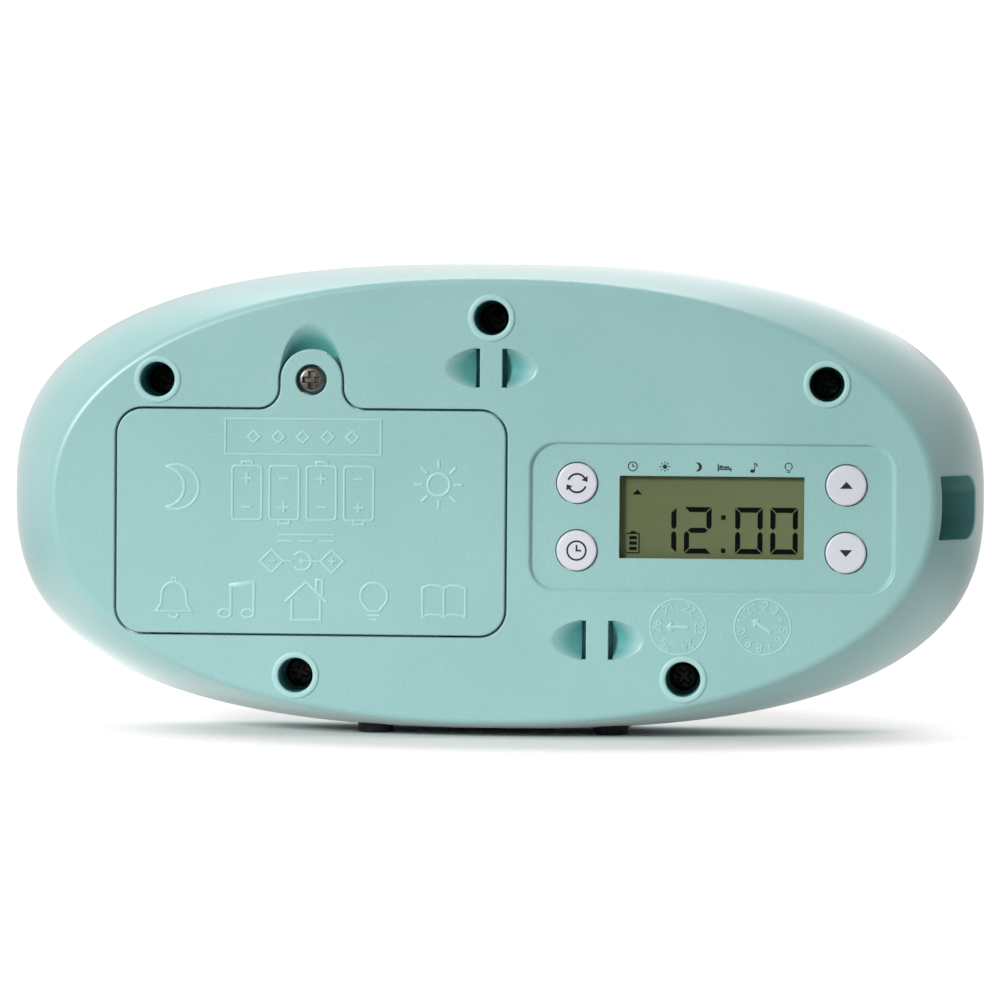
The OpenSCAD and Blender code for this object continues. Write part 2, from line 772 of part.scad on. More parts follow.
// One coil of wire per cell, between its flat end and the contact plate
module battery_springs() {
    turns = 4;
    per_turn = 12;
    wire_r = 0.35;
    color("silver")
        for (i = [0:cell_n - 1]) {
            up = i % 2 == 0;
            low = bay_low_z + contact_t + fit + wire_r + 0.05;
            high = bay_top_z - contact_t - fit - wire_r - 0.05;
            z0 = up ? low : high;
            z1 = up ? high - cell_l - wire_r * 2 + 0.1 : low + cell_l + wire_r * 2 - 0.1;
            lead([for (k = [0:turns * per_turn])
                  let (u = k / (turns * per_turn), q = 360 * k / per_turn)
                  [cell_x[i] + (4.6 - 1.6 * u) * cos(q), cell_y + (4.6 - 1.6 * u) * sin(q),
                   z0 + (z1 - z0) * u]], wire_r);
        }
}

// Nickel plates: one across each pair of joined ends, single ones at the ends of the row
module battery_contacts() {
    color("#c8c8c0") {
        for (i = [0:2:cell_n - 1])
            contact(cell_x[i], cell_x[min(i + 1, cell_n - 1)], bay_low_z);
        contact(cell_x[0], cell_x[0], bay_top_z - contact_t);
        for (i = [1:2:cell_n - 1])
            contact(cell_x[i], cell_x[min(i + 1, cell_n - 1)], bay_top_z - contact_t);
    }
}

module contact(x0, x1, z) {
    block([x0 - contact_half, cell_y - contact_half, z],
          [x1 + contact_half, cell_y + contact_half, z + contact_t]);
}

// ---------------------------------------------------------------- controls

module button(p) {
    rod(p, button_r, button_flange_y - eps, button_top_y);
    rod(p, button_flange_r, button_flange_y - button_flange_t, button_flange_y);
    rod(p, stem_r, plunger_top_y, button_flange_y - button_flange_t + eps);
}

module plunger(p) {
    rod(p, plunger_r, plunger_top_y - plunger_l, plunger_top_y);
}

module mode_button() {
    color("white") button(button_points[0]);
}

module set_button() {
    color("white") button(button_points[1]);
}

module up_button() {
    color("white") button(button_points[2]);
}

module down_button() {
    color("white") button(button_points[3]);
}

module mode_plunger() {
    color("#303030") plunger(button_points[0]);
}

module set_plunger() {
    color("#303030") plunger(button_points[1]);
}

module up_plunger() {
    color("#303030") plunger(button_points[2]);
}

module down_plunger() {
    color("#303030") plunger(button_points[3]);
}

module tact_switches() {
    half = switch_w / 2;
    color("#404040")
        for (p = button_points)
            difference() {
                block([p[0] - half, board_top_y, p[1] - half],
                      [p[0] + half, board_top_y + switch_h, p[1] + half]);
                rod(p, plunger_r + 0.1, plunger_top_y - plunger_l - button_travel - 0.1,
                    board_top_y + switch_h + 1);
            }
}

module main_board() {
    color("#1d6b3a") difference() {
        slab(board_low_y, board_top_y) translate([board_x, board_z])
            square([board_w, board_h], center = true);
        for (p = board_posts) rod(p, ear_shank_r + 0.2, board_low_y - 1, board_top_y + 1);
    }
}

// Screws that come from the inside, with their heads on the board
module board_screws() {
    color("silver")
        for (p = board_posts)
            translate([0, 2 * board_low_y, 0]) mirror([0, 1, 0])
                screw(p, board_low_y, ear_head_r, ear_head_h, ear_shank_r, ear_screw_l + board_t);
}

module display_window() {
    color("#e8f0f0", 0.3)
        slab(window_y - window_t, window_y) translate([recess_x, recess_z])
            square([lcd_w + 2 * window_margin, lcd_h + 2 * window_margin], center = true);
}

module lcd_glass() {
    color("#8f9a80")
        slab(lcd_y - lcd_t, lcd_y) translate([recess_x, recess_z])
            square([lcd_w + 2 * lcd_margin, lcd_h + 2 * lcd_margin], center = true);
}

module lcd_holder() {
    outer = lcd_margin + 1.2;
    strip = 2.4;
    color("#f0ead8")
        difference() {
            slab(board_top_y, holder_y) translate([recess_x, recess_z])
                square([lcd_w + 2 * outer, lcd_h + 2 * outer], center = true);
            slab(board_top_y - 1, holder_y + 1) translate([recess_x, recess_z])
                square([lcd_w - 4, lcd_h - 6], center = true);
            for (s = [-1, 1])
                slab(board_top_y - 1, holder_y + 1)
                    translate([recess_x, recess_z + s * (lcd_h / 2 - 0.4)])
                        square([lcd_w - 3, strip], center = true);
        }
}

// Conductive rubber between the glass and the board
module zebra_strips() {
    strip = 2.2;
    color("#c04070")
        for (s = [-1, 1])
            slab(board_top_y, holder_y)
                translate([recess_x, recess_z + s * (lcd_h / 2 - 0.4)])
                    square([lcd_w - 3.4, strip], center = true);
}

module board_part(at, w, h, t) {
    slab(board_low_y - t, board_low_y) translate(at) square([w, h], center = true);
}

module controller_chip() {
    color("#202020") board_part([board_x + 10, board_z + 2], 14, 14, 1.6);
}

module sound_chip() {
    color("#202020") board_part([board_x - 12, board_z + 8], 6, 5, 1.5);
}

module crystal() {
    color("silver") board_part([board_x + 10, board_z - 12], 10, 4, 3.5);
}

module capacitors() {
    color("#28323c")
        for (i = [0:2])
            rod([board_x - 22 + i * 8, board_z - 12], 2.5, board_low_y - 7, board_low_y);
}

// Sockets for the battery, speaker, light and jack leads, from left to right
connector_x = [board_x + 34, board_x + 25, board_x - 4, board_x - 30];
connector_z = board_z + 15;
connector_t = 5;
module lead_connectors() {
    color("#f0ece0")
        for (x = connector_x) board_part([x, connector_z], 6, 4.5, connector_t);
}

// ---------------------------------------------------------------- power socket

module dc_jack() {
    color("#202020") difference() {
        union() {
            block([pocket_back_x + pocket_wall, pocket_y - jack_h / 2, pocket_z - jack_w / 2],
                  [pocket_back_x + pocket_wall + jack_l, pocket_y + jack_h / 2,
                   pocket_z + jack_w / 2]);
            translate([pocket_back_x + 0.1, pocket_y, pocket_z])
                rotate([0, 90, 0]) cylinder(h = pocket_wall + 1, r = jack_nose_r);
        }
        translate([pocket_back_x - 1, pocket_y, pocket_z])
            rotate([0, 90, 0]) cylinder(h = jack_bore_l + 1, r = jack_bore_r);
    }
}

module jack_pin() {
    color("silver")
        translate([pocket_back_x + 1.2, pocket_y, pocket_z])
            rotate([0, 90, 0]) cylinder(h = jack_bore_l - 1.2, r = jack_pin_r);
}

// ---------------------------------------------------------------- speaker

speaker_back_y = speaker_y + gasket_t + speaker_flange_t;

module speaker_gasket() {
    color("#303030")
        slab(speaker_y, speaker_y + gasket_t) translate([0, speaker_z]) difference() {
            stadium(speaker_w, speaker_h);
            stadium(speaker_w - 4, speaker_h - 4);
        }
}

module speaker_frame() {
    y0 = speaker_y + gasket_t;
    color("#505558") difference() {
        union() {
            slab(y0, speaker_back_y) translate([0, speaker_z]) stadium(speaker_w, speaker_h);
            slab(y0, y0 + speaker_basket_d) translate([0, speaker_z])
                stadium(basket_w, basket_h);
        }
        slab(y0 - 1, y0 + speaker_basket_d - 1) translate([0, speaker_z])
            stadium(basket_w - 2, basket_h - 2);
    }
}

module speaker_magnet() {
    y0 = speaker_y + gasket_t + speaker_basket_d;
    color("silver") rod([0, speaker_z], magnet_r, y0, y0 + magnet_t);
}

module speaker_cone() {
    y0 = speaker_y + gasket_t;
    color("#282828") {
        slab(y0 + 0.6, y0 + 1.4) translate([0, speaker_z])
            stadium(basket_w - 2.4, basket_h - 2.4);
        rod([0, speaker_z], 3.5, y0 + 1.4 - eps, y0 + speaker_basket_d - 1.3);
    }
}

module speaker_bracket() {
    color("#d0d0d0") difference() {
        slab(speaker_back_y, speaker_back_y + bracket_t) translate([0, speaker_z])
            stadium(2 * bracket_x + 7, speaker_h);
        slab(speaker_back_y - 1, speaker_back_y + bracket_t + 1) translate([0, speaker_z])
            stadium(basket_w + 0.6, basket_h + 0.6);
        for (s = [-1, 1])
            rod([s * bracket_x, speaker_z], ear_shank_r + 0.2, speaker_back_y - 1,
                speaker_back_y + bracket_t + 1);
    }
}

module speaker_screws() {
    color("silver")
        for (s = [-1, 1])
            screw([s * bracket_x, speaker_z], speaker_back_y + bracket_t, ear_head_r,
                  ear_head_h, ear_shank_r, ear_screw_l + bracket_t);
}

// ---------------------------------------------------------------- night light

module night_light_lens() {
    rim_a = lens_w / 2 - lens_gap;
    rim_b = lens_h / 2 - lens_gap;
    color("white", 0.85) difference() {
        union() {
            loft(concat([for (q = [6, 18, 32, 46, 60, 74, 90])
                         oval(rim_a * sin(q), rim_b * sin(q), lens_n,
                              bezel_y - dome_h * cos(q), lens_z)],
                        [oval(rim_a, rim_b, lens_n, flange_y + eps, lens_z)]));
            lens_oval(lens_flange, flange_y, flange_y + flange_t);
        }
        loft(concat([for (q = [8, 24, 42, 60, 90])
                     oval((rim_a - lens_t) * sin(q), (rim_b - lens_t) * sin(q), lens_n,
                          bezel_y + lens_t - dome_h * cos(q), lens_z)],
                    [oval(rim_a - lens_t, rim_b - lens_t, lens_n, mask_y + 1, lens_z)]));
    }
}

// Opaque film with a plain sun, a plain crescent and three dots cut in it
module light_mask() {
    color("#3a5a6a") difference() {
        lens_oval(lens_flange, mask_y, tray_y);
        slab(mask_y - 1, tray_y + 1) {
            translate([sun_x, lens_z]) {
                circle(r = 9);
                for (k = [0:7])
                    rotate(45 * k) translate([14.5, 0]) square([6, 2.6], center = true);
            }
            translate([moon_x, lens_z]) difference() {
                circle(r = 14);
                translate([6.5, 3]) circle(r = 12);
            }
            for (p = [[-8, 6], [4, -3], [12, 9]]) translate([p[0], lens_z + p[1]]) circle(r = 2);
        }
    }
}

module tray_ears() {
    for (p = ears) {
        inward = [p[0] * ear_inward_x, lens_z + (p[1] - lens_z) * ear_inward_z];
        slab(tray_y, tray_y + tray_flange_t) hull() {
            translate(p) circle(r = ear_r, $fn = 32);
            translate(inward) circle(r = ear_r, $fn = 32);
        }
    }
}

module reflector_tray() {
    color("white") difference() {
        union() {
            lens_oval(lens_flange, tray_y, tray_y + tray_flange_t);
            lens_oval(-tray_inset, tray_y, tray_back_y);
            tray_ears();
        }
        loft([oval(lens_w / 2 - 3, lens_h / 2 - 3, lens_n, tray_y - 1, lens_z),
              oval(lens_w / 2 - tray_inset - tray_wall, lens_h / 2 - tray_inset - tray_wall,
                   lens_n, tray_y + tray_flange_t - tray_wall + eps, lens_z),
              oval(lens_w / 2 - tray_inset - tray_wall, lens_h / 2 - tray_inset - tray_wall,
                   lens_n, tray_back_y - tray_wall, lens_z)]);
        for (p = leds) rod(p, led_r + 0.3, tray_back_y - 3, tray_back_y + 1);
        for (p = led_pegs) rod(p, ear_shank_r + 0.05, tray_back_y - 3, tray_back_y + 1);
        for (p = ears) rod(p, ear_shank_r + 0.2, tray_y - 1, tray_y + 3);
    }
}

module tray_screws() {
    color("silver")
        for (p = ears)
            screw(p, tray_y + tray_flange_t, ear_head_r, ear_head_h, ear_shank_r, ear_screw_l);
}

module led_board() {
    color("white") difference() {
        slab(tray_back_y, tray_back_y + led_board_t) translate([0, lens_z])
            square([led_board_w, led_board_h], center = true);
        for (p = led_pegs) rod(p, ear_shank_r + 0.2, tray_back_y - 1, tray_back_y + 3);
    }
}

module led_board_screws() {
    color("silver")
        for (p = led_pegs)
            screw(p, tray_back_y + led_board_t, ear_head_r, ear_head_h, ear_shank_r, 3.4);
}

module light_leds() {
    color("#fff0c0")
        for (p = leds) {
            rod(p, led_r, tray_back_y - led_l, tray_back_y);
            translate([p[0], tray_back_y - led_l, p[1]]) sphere(r = led_r);
        }
}

// ---------------------------------------------------------------- feet and leads

module feet() {
    color("#d8d8d0")
        for (x = [-foot_x, foot_x], y = [foot_front_y, foot_rear_y])
            translate([x, y, 0]) cylinder(h = foot_h, r = foot_r);
}

// Each pair of leads runs from its piece to its socket on the board. The two lie apart along
// start at the piece, and turn to lie apart along end at the board.
lead_r = 0.65;
lead_spread = 1.1;
lead_gap = 0.3;
lead_end_y = board_low_y - connector_t - lead_gap;
module pair(points, start, end, up = [0, 0.2, 1]) {
    last = len(points) - 1;
    for (k = [-lead_spread, lead_spread])
        lead(route([for (i = [0:last]) points[i] + k * (start + (end - start) * i / last)]),
             lead_r, up);
}

module battery_leads() {
    x0 = door_x - bay_w / 2 - bay_wall - lead_gap;
    c = [connector_x[0], lead_end_y, connector_z];
    color("#b02020")
        pair([[x0, 20, door_z + 21.9], [x0 - 3, 19.4, door_z + 22.1], [4, 15, board_z + 21.3],
              [-6, 9, board_z + 19.3],
              c + [3, -5, 2], c + [0, -2.6, 0], c], [0, 0, 1], [0, 0, 1]);
}

module speaker_leads() {
    y0 = speaker_y + gasket_t + speaker_basket_d + lead_gap;
    c = [connector_x[1], lead_end_y, connector_z];
    color("#202020")
        pair([[-10, y0, speaker_z + 2], [-11, y0 + 3, speaker_z + 2.6], [-15, -4.4, speaker_z + 6.3],
              [-23, 0, speaker_z + 19.3], [-28, 3.5, board_z - 1.7], c + [0, -6.5, -7],
              c + [0, -3, -1.5], c], [1, 0, 0], [1, 0, 0], [1, 0, 0]);
}

module light_leads() {
    y0 = tray_back_y + led_board_t + lead_gap;
    c = [connector_x[2], lead_end_y, connector_z];
    color("#e0e0e0")
        pair([[-36, y0, lens_z + 6], [-37, y0 + 2.6, lens_z + 6.4], [-43, -3, lens_z + 8],
              [-52, 4, lens_z + 9], c + [2, -4.5, 0.5], c], [0, 0, 1], [0, 0, 1]);
}

module jack_leads() {
    x0 = pocket_back_x + pocket_wall + jack_l + lead_gap;
    c = [connector_x[3], lead_end_y, connector_z];
    color("#202020")
        pair([[x0, pocket_y - 4, pocket_z], [x0 + 3, 15.2, pocket_z + 0.6],
              [x0 + 5, 11.2, pocket_z + 4.3], c + [-1, -4.8, -3], c + [0, -2.4, -0.8], c],
             [0, 0, 1], [-0.9, 0, 0.5]);
}

// ---------------------------------------------------------------- node list

rear_housing();
front_housing();
battery_door();
door_screw();
case_screws();
battery_cells();
battery_springs();
battery_contacts();
mode_button();
set_button();
up_button();
down_button();
mode_plunger();
set_plunger();
up_plunger();
down_plunger();
tact_switches();
main_board();
board_screws();
display_window();
lcd_glass();
lcd_holder();
zebra_strips();
controller_chip();
sound_chip();
crystal();
capacitors();
lead_connectors();
dc_jack();
jack_pin();
speaker_frame();
speaker_magnet();
speaker_cone();
speaker_gasket();
speaker_bracket();
speaker_screws();
night_light_lens();
light_mask();
reflector_tray();
tray_screws();
led_board();
led_board_screws();
light_leds();
feet();
battery_leads();
speaker_leads();
light_leads();
jack_leads();
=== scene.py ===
"""Kids alarm clock with night light: an oval desk clock in two mint shells, put together
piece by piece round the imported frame. Lengths are in millimetres until a mesh is made."""

import bmesh
import bpy
import numpy as np
from math import cos, pi, radians, sin, sqrt
from mathutils import Matrix, Vector


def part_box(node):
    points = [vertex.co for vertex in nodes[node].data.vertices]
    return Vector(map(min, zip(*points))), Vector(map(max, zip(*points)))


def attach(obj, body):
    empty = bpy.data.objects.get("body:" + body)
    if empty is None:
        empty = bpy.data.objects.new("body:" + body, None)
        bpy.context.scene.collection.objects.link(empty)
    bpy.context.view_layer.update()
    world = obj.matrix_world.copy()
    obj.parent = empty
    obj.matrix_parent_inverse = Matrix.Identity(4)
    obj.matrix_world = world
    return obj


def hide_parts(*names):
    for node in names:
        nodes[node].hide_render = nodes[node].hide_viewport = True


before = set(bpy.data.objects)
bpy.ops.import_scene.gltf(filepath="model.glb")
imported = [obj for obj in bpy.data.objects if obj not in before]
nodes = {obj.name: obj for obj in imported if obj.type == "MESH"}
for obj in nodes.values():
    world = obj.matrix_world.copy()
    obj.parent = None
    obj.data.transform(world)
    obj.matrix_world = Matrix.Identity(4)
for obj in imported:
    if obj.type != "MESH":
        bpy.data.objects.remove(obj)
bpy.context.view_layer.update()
MM = 0.001


# ------------------------------------------------------------------ rear housing
# Injection-moulded mint shell with the flat back panel. The panel carries raised screw
# wells, the pocket of the battery door, the sunk control panel, two strap anchors and a
# plug pocket. Its inside (bay, posts, ledges) is the frame's own, under a finer skin.

def limits(node):
    """Lowest and highest corners of a frame node, in millimetres."""
    low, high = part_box(node)
    return np.array(low) / MM, np.array(high) / MM


rear_low, rear_high = limits("rear_housing")
door_low, door_high = limits("battery_door")
body_a = rear_high[0]
body_b = (rear_high[2] - rear_low[2]) / 2
body_z = (rear_high[2] + rear_low[2]) / 2
part_y = rear_low[1]
panel_y = door_high[1]
rear_depth = panel_y - part_y
panel_a, panel_b, panel_z = 111.0, 55.75, body_z - 0.5
body_n, panel_n, side_power = 2.6, 2.17, 2.3
panel_edge = 1.5
skin_wall = 2.2
skin_raise = 0.01
round_steps = 256


def oval(a, b, n, y, z, t):
    """Superellipse ring in a plane of constant y: x = a k cos t, z = b k sin t, with
    k = (|cos t|^n + |sin t|^n)^(-1/n)."""
    k = (np.abs(np.cos(t)) ** n + np.abs(np.sin(t)) ** n) ** (-1 / n)
    return np.stack([a * k * np.cos(t), np.full_like(t, y), z + b * k * np.sin(t)], -1)


def turn(steps):
    """Angles once round a ring."""
    return np.arange(steps) * 2 * pi / steps


def rear_ring(u, out):
    """Ring of the rear wall at share u of its depth: half sizes shrink with u^2.3 from the
    widest section to the panel's, and out moves the ring outwards."""
    s = u ** side_power
    return oval(body_a + out - s * (body_a - panel_a), body_b + out - s * (body_b - panel_b),
                body_n - s * (body_n - panel_n), part_y + u * rear_depth,
                body_z - s * (body_z - panel_z), turn(round_steps))


def put_mesh(name, points, faces, smooth=True):
    """New mesh object from points in millimetres; doubles merge and faces turn outwards."""
    mesh = bpy.data.meshes.new(name)
    mesh.from_pydata((np.asarray(points, float).reshape(-1, 3) * MM).tolist(), [], faces)
    shell = bmesh.new()
    shell.from_mesh(mesh)
    bmesh.ops.remove_doubles(shell, verts=shell.verts, dist=1e-7)
    bmesh.ops.recalc_face_normals(shell, faces=shell.faces)
    shell.to_mesh(mesh)
    shell.free()
    if smooth:
        mesh.shade_smooth()
        mesh.set_sharp_from_angle(angle=radians(32))
    made = bpy.data.objects.new(name, mesh)
    bpy.context.scene.collection.objects.link(made)
    return made


def quads(index, closed):
    """Quads between the rows of a grid of point numbers; closed joins the last column to the
    first."""
    right = np.roll(index, -1, 1)
    if not closed:
        index, right = index[:, :-1], right[:, :-1]
    return np.stack([index[:-1], right[:-1], right[1:], index[1:]], -1).reshape(-1, 4).tolist()


def stack(name, rings, smooth=True):
    """Closed surface through a stack of rings: quads join each ring to the next, and a flat
    face fills the first and the last."""
    rings = np.asarray(rings, float)
    rows, columns = rings.shape[:2]
    index = np.arange(rows * columns).reshape(rows, columns)
    return put_mesh(name, rings, quads(index, True) + index[[0, -1]].tolist(), smooth)


def carve(target, operation, tools):
    """Joins, cuts or crops target by each tool in turn, then removes the tools."""
    for tool in tools:
        step = target.modifiers.new("carve", "BOOLEAN")
        step.operation, step.solver, step.object = operation, "MANIFOLD", tool
    shape = target.evaluated_get(bpy.context.evaluated_depsgraph_get())
    target.data = bpy.data.meshes.new_from_object(shape)
    target.modifiers.clear()
    for tool in tools:
        bpy.data.objects.remove(tool)
    return target


def cad_copy(node, name):
    """Merged copy of a frame node's mesh, closed, for a new piece."""
    mesh = nodes[node].data.copy()
    mesh.materials.clear()
    shell = bmesh.new()
    shell.from_mesh(mesh)
    bmesh.ops.remove_doubles(shell, verts=shell.verts, dist=2e-6)
    shell.to_mesh(mesh)
    shell.free()
    for attribute in ("custom_normal", "sharp_face", "sharp_edge"):
        if attribute in mesh.attributes:
            mesh.attributes.remove(mesh.attributes[attribute])
    made = bpy.data.objects.new(name, mesh)
    bpy.context.scene.collection.objects.link(made)
    return made


def soften(piece, angle=32):
    """Smooth shading with creases past an angle, and normals weighted by face area."""
    piece.data.shade_smooth()
    piece.data.set_sharp_from_angle(angle=radians(angle))
    weights = piece.modifiers.new("weights", "WEIGHTED_NORMAL")
    weights.keep_sharp = True
    weights.weight = 100
    return piece


def rear_skin():
    """The rear wall's rings, then a quadratic curve at each point from the wall through the
    corner to the flat panel."""
    wall_end = 1 - panel_edge / rear_depth
    start, corner = rear_ring(wall_end, skin_raise), rear_ring(1, skin_raise)
    corner[:, 1] = panel_y + skin_raise
    end = oval(panel_a - panel_edge, panel_b - panel_edge, panel_n, panel_y + skin_raise,
               panel_z, turn(round_steps))
    seam = rear_ring(0, -0.3)
    rings = [seam] + [rear_ring(u, skin_raise) for u in np.linspace(0.006, wall_end, 26)]
    for w in np.linspace(0, 1, 7)[1:]:
        rings.append((1 - w) ** 2 * start + 2 * w * (1 - w) * corner + w * w * end)
    return rings


def arc(x, z, r, start, end, steps):
    """Points of an arc about x, z, as an array of [x, z]; angles are in degrees."""
    q = np.radians(np.linspace(start, end, steps + 1))
    return np.stack([x + r * np.cos(q), z + r * np.sin(q)], -1)


def soft_rect(x, z, w, h, r, grow, steps=10):
    """Rectangle w by h about x, z with round corners, moved outwards by grow."""
    a, b, r = w / 2 + grow, h / 2 + grow, max(r + grow, 0.02)
    return np.concatenate([arc(x + sx * (a - r), z + sz * (b - r), r, q, q + 90, steps)
                           for sx, sz, q in ((1, 1, 0), (-1, 1, 90), (-1, -1, 180), (1, -1, 270))])


def disc(x, z, r, grow, steps=64):
    """Circle of radius r about x, z, moved outwards by grow."""
    return np.stack([x + (r + grow) * np.cos(turn(steps)),
                     z + (r + grow) * np.sin(turn(steps))], -1)


def flat_ring(outline, y):
    """Outline of [x, z] points set at depth y."""
    return np.stack([outline[:, 0], np.full(len(outline), y), outline[:, 1]], -1)


def mouth(outline, floor_y, mouth_y, lip, foot=0.0):
    """Rings of a cutter that enters through a face at mouth_y. The lip rounds the edge there
    in a quarter circle, and foot rounds the floor's corner. outline(grow) gives the shape."""
    rings = []
    for q in np.linspace(0, pi / 2, 5) if foot else [pi / 2]:
        rings.append(flat_ring(outline(-foot * (1 - sin(q))), floor_y + foot * (1 - cos(q))))
    for q in np.linspace(0, pi / 2, 6):
        rings.append(flat_ring(outline(lip * (1 - cos(q))), mouth_y - lip * (1 - sin(q))))
    rings.append(flat_ring(outline(lip), mouth_y + 2))
    return rings


# Raised rims of the five screw wells
well_r, well_bore, rim_h = 5.8, 4.35, 0.5
well_floor_y = panel_y - 14.2
well_points = [(panel_a - 27, panel_z + 30), (27 - panel_a, panel_z + 30), (0, panel_z + 46),
               (48.7, panel_z - 44.1), (-48.7, panel_z - 44.1)]


def rim(x, z):
    """Round rim: an outer wall whose upper edge is a quarter of an ellipse."""
    rings = [flat_ring(disc(x, z, well_r, 0.12), panel_y - 1)]
    for q in np.linspace(0, pi / 2, 9):
        rings.append(flat_ring(disc(x, z, well_r, 0.12 - 0.62 * (1 - cos(q))),
                               panel_y + rim_h - 0.45 * (1 - sin(q))))
    return stack("rim", rings)


# Outline of the battery door and of the pocket that it lies in
door_x = (door_low[0] + door_high[0]) / 2
door_gap = 0.55
door_half_w = (door_high[0] - door_low[0]) / 2 + door_gap
tab_r, tab_blend, door_corner = 8.3, 5.0, 7.0
tab_z = door_high[2] + door_gap - tab_r
door_half_h = 28.7
door_z = panel_z - 34.3 + door_half_h


def door_outline(grow, steps=10):
    """Round-cornered rectangle with a round tab on its top edge, blended by two fillets."""
    w, h, r = door_half_w + grow, door_half_h + grow, door_corner + grow
    tr, br, tz = tab_r + grow, tab_blend - grow, tab_z - door_z
    parts = [arc(w - r, r - h, r, -90, 0, steps), arc(w - r, h - r, r, 0, 90, steps),
             arc(tr + br, h + br, br, 270, 180, steps), arc(0, tz, tr, 0, 180, 3 * steps),
             arc(-tr - br, h + br, br, 0, -90, steps), arc(r - w, h - r, r, 90, 180, steps),
             arc(r - w, r - h, r, 180, 270, steps)]
    return np.concatenate(parts) + [door_x, door_z]


# Sunk control panel with its display opening and four button holes
recess_x, recess_z = -55.5, panel_z - 3.6
recess_w, recess_h, recess_r, recess_d = 90.7, 36.8, 6.5, 1.2
recess_y = panel_y - recess_d
lcd_w, lcd_h = 46.2, 20.7
button_points = {name: (sum(limits(name)[k][0] for k in (0, 1)) / 2,
                        sum(limits(name)[k][2] for k in (0, 1)) / 2)
                 for name in ("mode_button", "set_button", "up_button", "down_button")}
button_r = 5.05

# Strap anchors: a flush bar between two scoops, with a slot on each side of it
anchor_points = [(0, panel_z + 33.4), (-27.1, panel_z - 34.5)]
anchor_reach, anchor_half, bar_w, bar_t, slot_w, tunnel_d = 11.45, 5.35, 5.6, 2.0, 1.1, 5.4
slot_half = anchor_half - 0.5

# Thumb scoop behind the door's tab, and the ledge that the door lies on
thumb_r, thumb_reach = 8, 14
ledge_y = panel_y - 2.39


def scoop(x, z, heading, r, reach, start, end_share=1.09):
    """Cutter of a scoop that a leaning cylinder of radius r makes in the panel. It runs along
    heading from start to reach; depth = (sqrt(r^2 - v^2) - p sin a) / cos a, with p along and
    v across the heading and sin a = r / reach. A smooth maximum with zero softens its lip."""
    lean = r / reach
    share = np.linspace(0, end_share, 30)[:, None]
    q = np.radians(np.linspace(-90, 90, 61))[None, :]
    c, s = np.cos(q), np.sin(q)
    a, b, k = (c / reach) ** 2 + (s / r) ** 2, 2 * start * c / reach ** 2, (start / reach) ** 2 - 1
    edge = (-b + np.sqrt(b * b - 4 * a * k)) / (2 * a)
    p, v = start + share * edge * c, share * edge * s
    depth = (np.sqrt(np.maximum(r * r - v * v, 0)) - p * lean) / sqrt(1 - lean * lean)
    depth = np.where(np.abs(v) > r, depth - (np.abs(v) - r) * 3, depth)
    depth = 0.5 * (depth + np.sqrt(depth * depth + 0.04)) - 0.03
    cx, cz = heading
    low = np.stack([x + p * cx - v * cz, panel_y - depth, z + p * cz + v * cx], -1)
    high = low.copy()
    high[..., 1] = panel_y + 1
    rows, columns = low.shape[:2]
    index = np.arange(rows * columns).reshape(rows, columns)
    border = np.concatenate([index[0], index[1:, -1], index[-1, -2::-1], index[-2:0:-1, 0]])
    after = np.roll(border, -1)
    size = rows * columns
    walls = np.stack([border, after, after + size, border + size], -1).tolist()
    floor = quads(index, False)
    roof = (np.array(floor) + size).tolist()
    return put_mesh("scoop", np.stack([low, high]), floor + roof + walls)


def anchor_tools(x, z):
    """Two scoops, two slots with rounded mouths and the tunnel under the bar."""
    slot_x = bar_w / 2 + slot_w
    tools = [scoop(x, z, (side, 0), anchor_half, anchor_reach, slot_x - 0.05)
             for side in (-1, 1)]
    for side in (-1, 1):
        at = x + side * (bar_w + slot_w) / 2

        def shape(grow):
            return soft_rect(at, z, slot_w + 0.02, 2 * slot_half + 0.02, 0.02, grow, 4)
        tools.append(stack("slot", mouth(shape, panel_y - tunnel_d, panel_y + skin_raise, 0.22)))
    tunnel = soft_rect(x, z, 2 * slot_x + 0.02, 2 * slot_half + 0.02, 0.02, 0, 4)
    tools.append(stack("tunnel", [flat_ring(tunnel, panel_y - tunnel_d),
                                  flat_ring(tunnel, panel_y - bar_t)]))
    return tools


# Plug pocket in the right-hand side, seen from behind
pocket_y, pocket_z = panel_y - 11.5, panel_z - 0.8
pocket_h, pocket_d, pocket_r, pocket_back = 16.0, 17.0, 5.0, -106.5


def wall_x(y, z):
    """Half width of the rear wall at depth y and level z: the ring's superellipse solved
    for x."""
    s = np.clip((y - part_y) / rear_depth, 0, 1) ** side_power
    n = body_n - s * (body_n - panel_n)
    a, b = body_a - s * (body_a - panel_a), body_b - s * (body_b - panel_b)
    rise = np.abs(z - body_z + s * (body_z - panel_z)) / b
    return a * (1 - rise ** n) ** (1 / n)


def pocket_tool():
    """Cutter of a D-shaped pocket. Its rings are the pocket's outline grown by the lip's
    quarter circle, each at that depth below the curved side wall."""
    def outline(grow):
        w, h, r, s = pocket_d / 2 + grow, pocket_h / 2 + grow, pocket_r + grow, 0.3
        parts = [arc(w - s, h - s, s, 0, 90, 3), arc(r - w, h - r, r, 90, 180, 14),
                 arc(r - w, r - h, r, 180, 270, 14), arc(w - s, s - h, s, 270, 360, 3)]
        return np.concatenate(parts) + [pocket_y, pocket_z]
    lip, base = 0.45, outline(0)
    rings = [np.stack([np.full(len(base), pocket_back + 0.02), base[:, 0], base[:, 1]], -1)]
    for q in np.linspace(0, pi / 2, 6):
        grown = outline(lip * (1 - cos(q)))
        depth = wall_x(grown[:, 0], grown[:, 1]) + skin_raise - lip * (1 - sin(q))
        rings.append(np.stack([-depth, grown[:, 0], grown[:, 1]], -1))
    rings.append(rings[-1] - [8, 0, 0])
    return stack("pocket", rings)


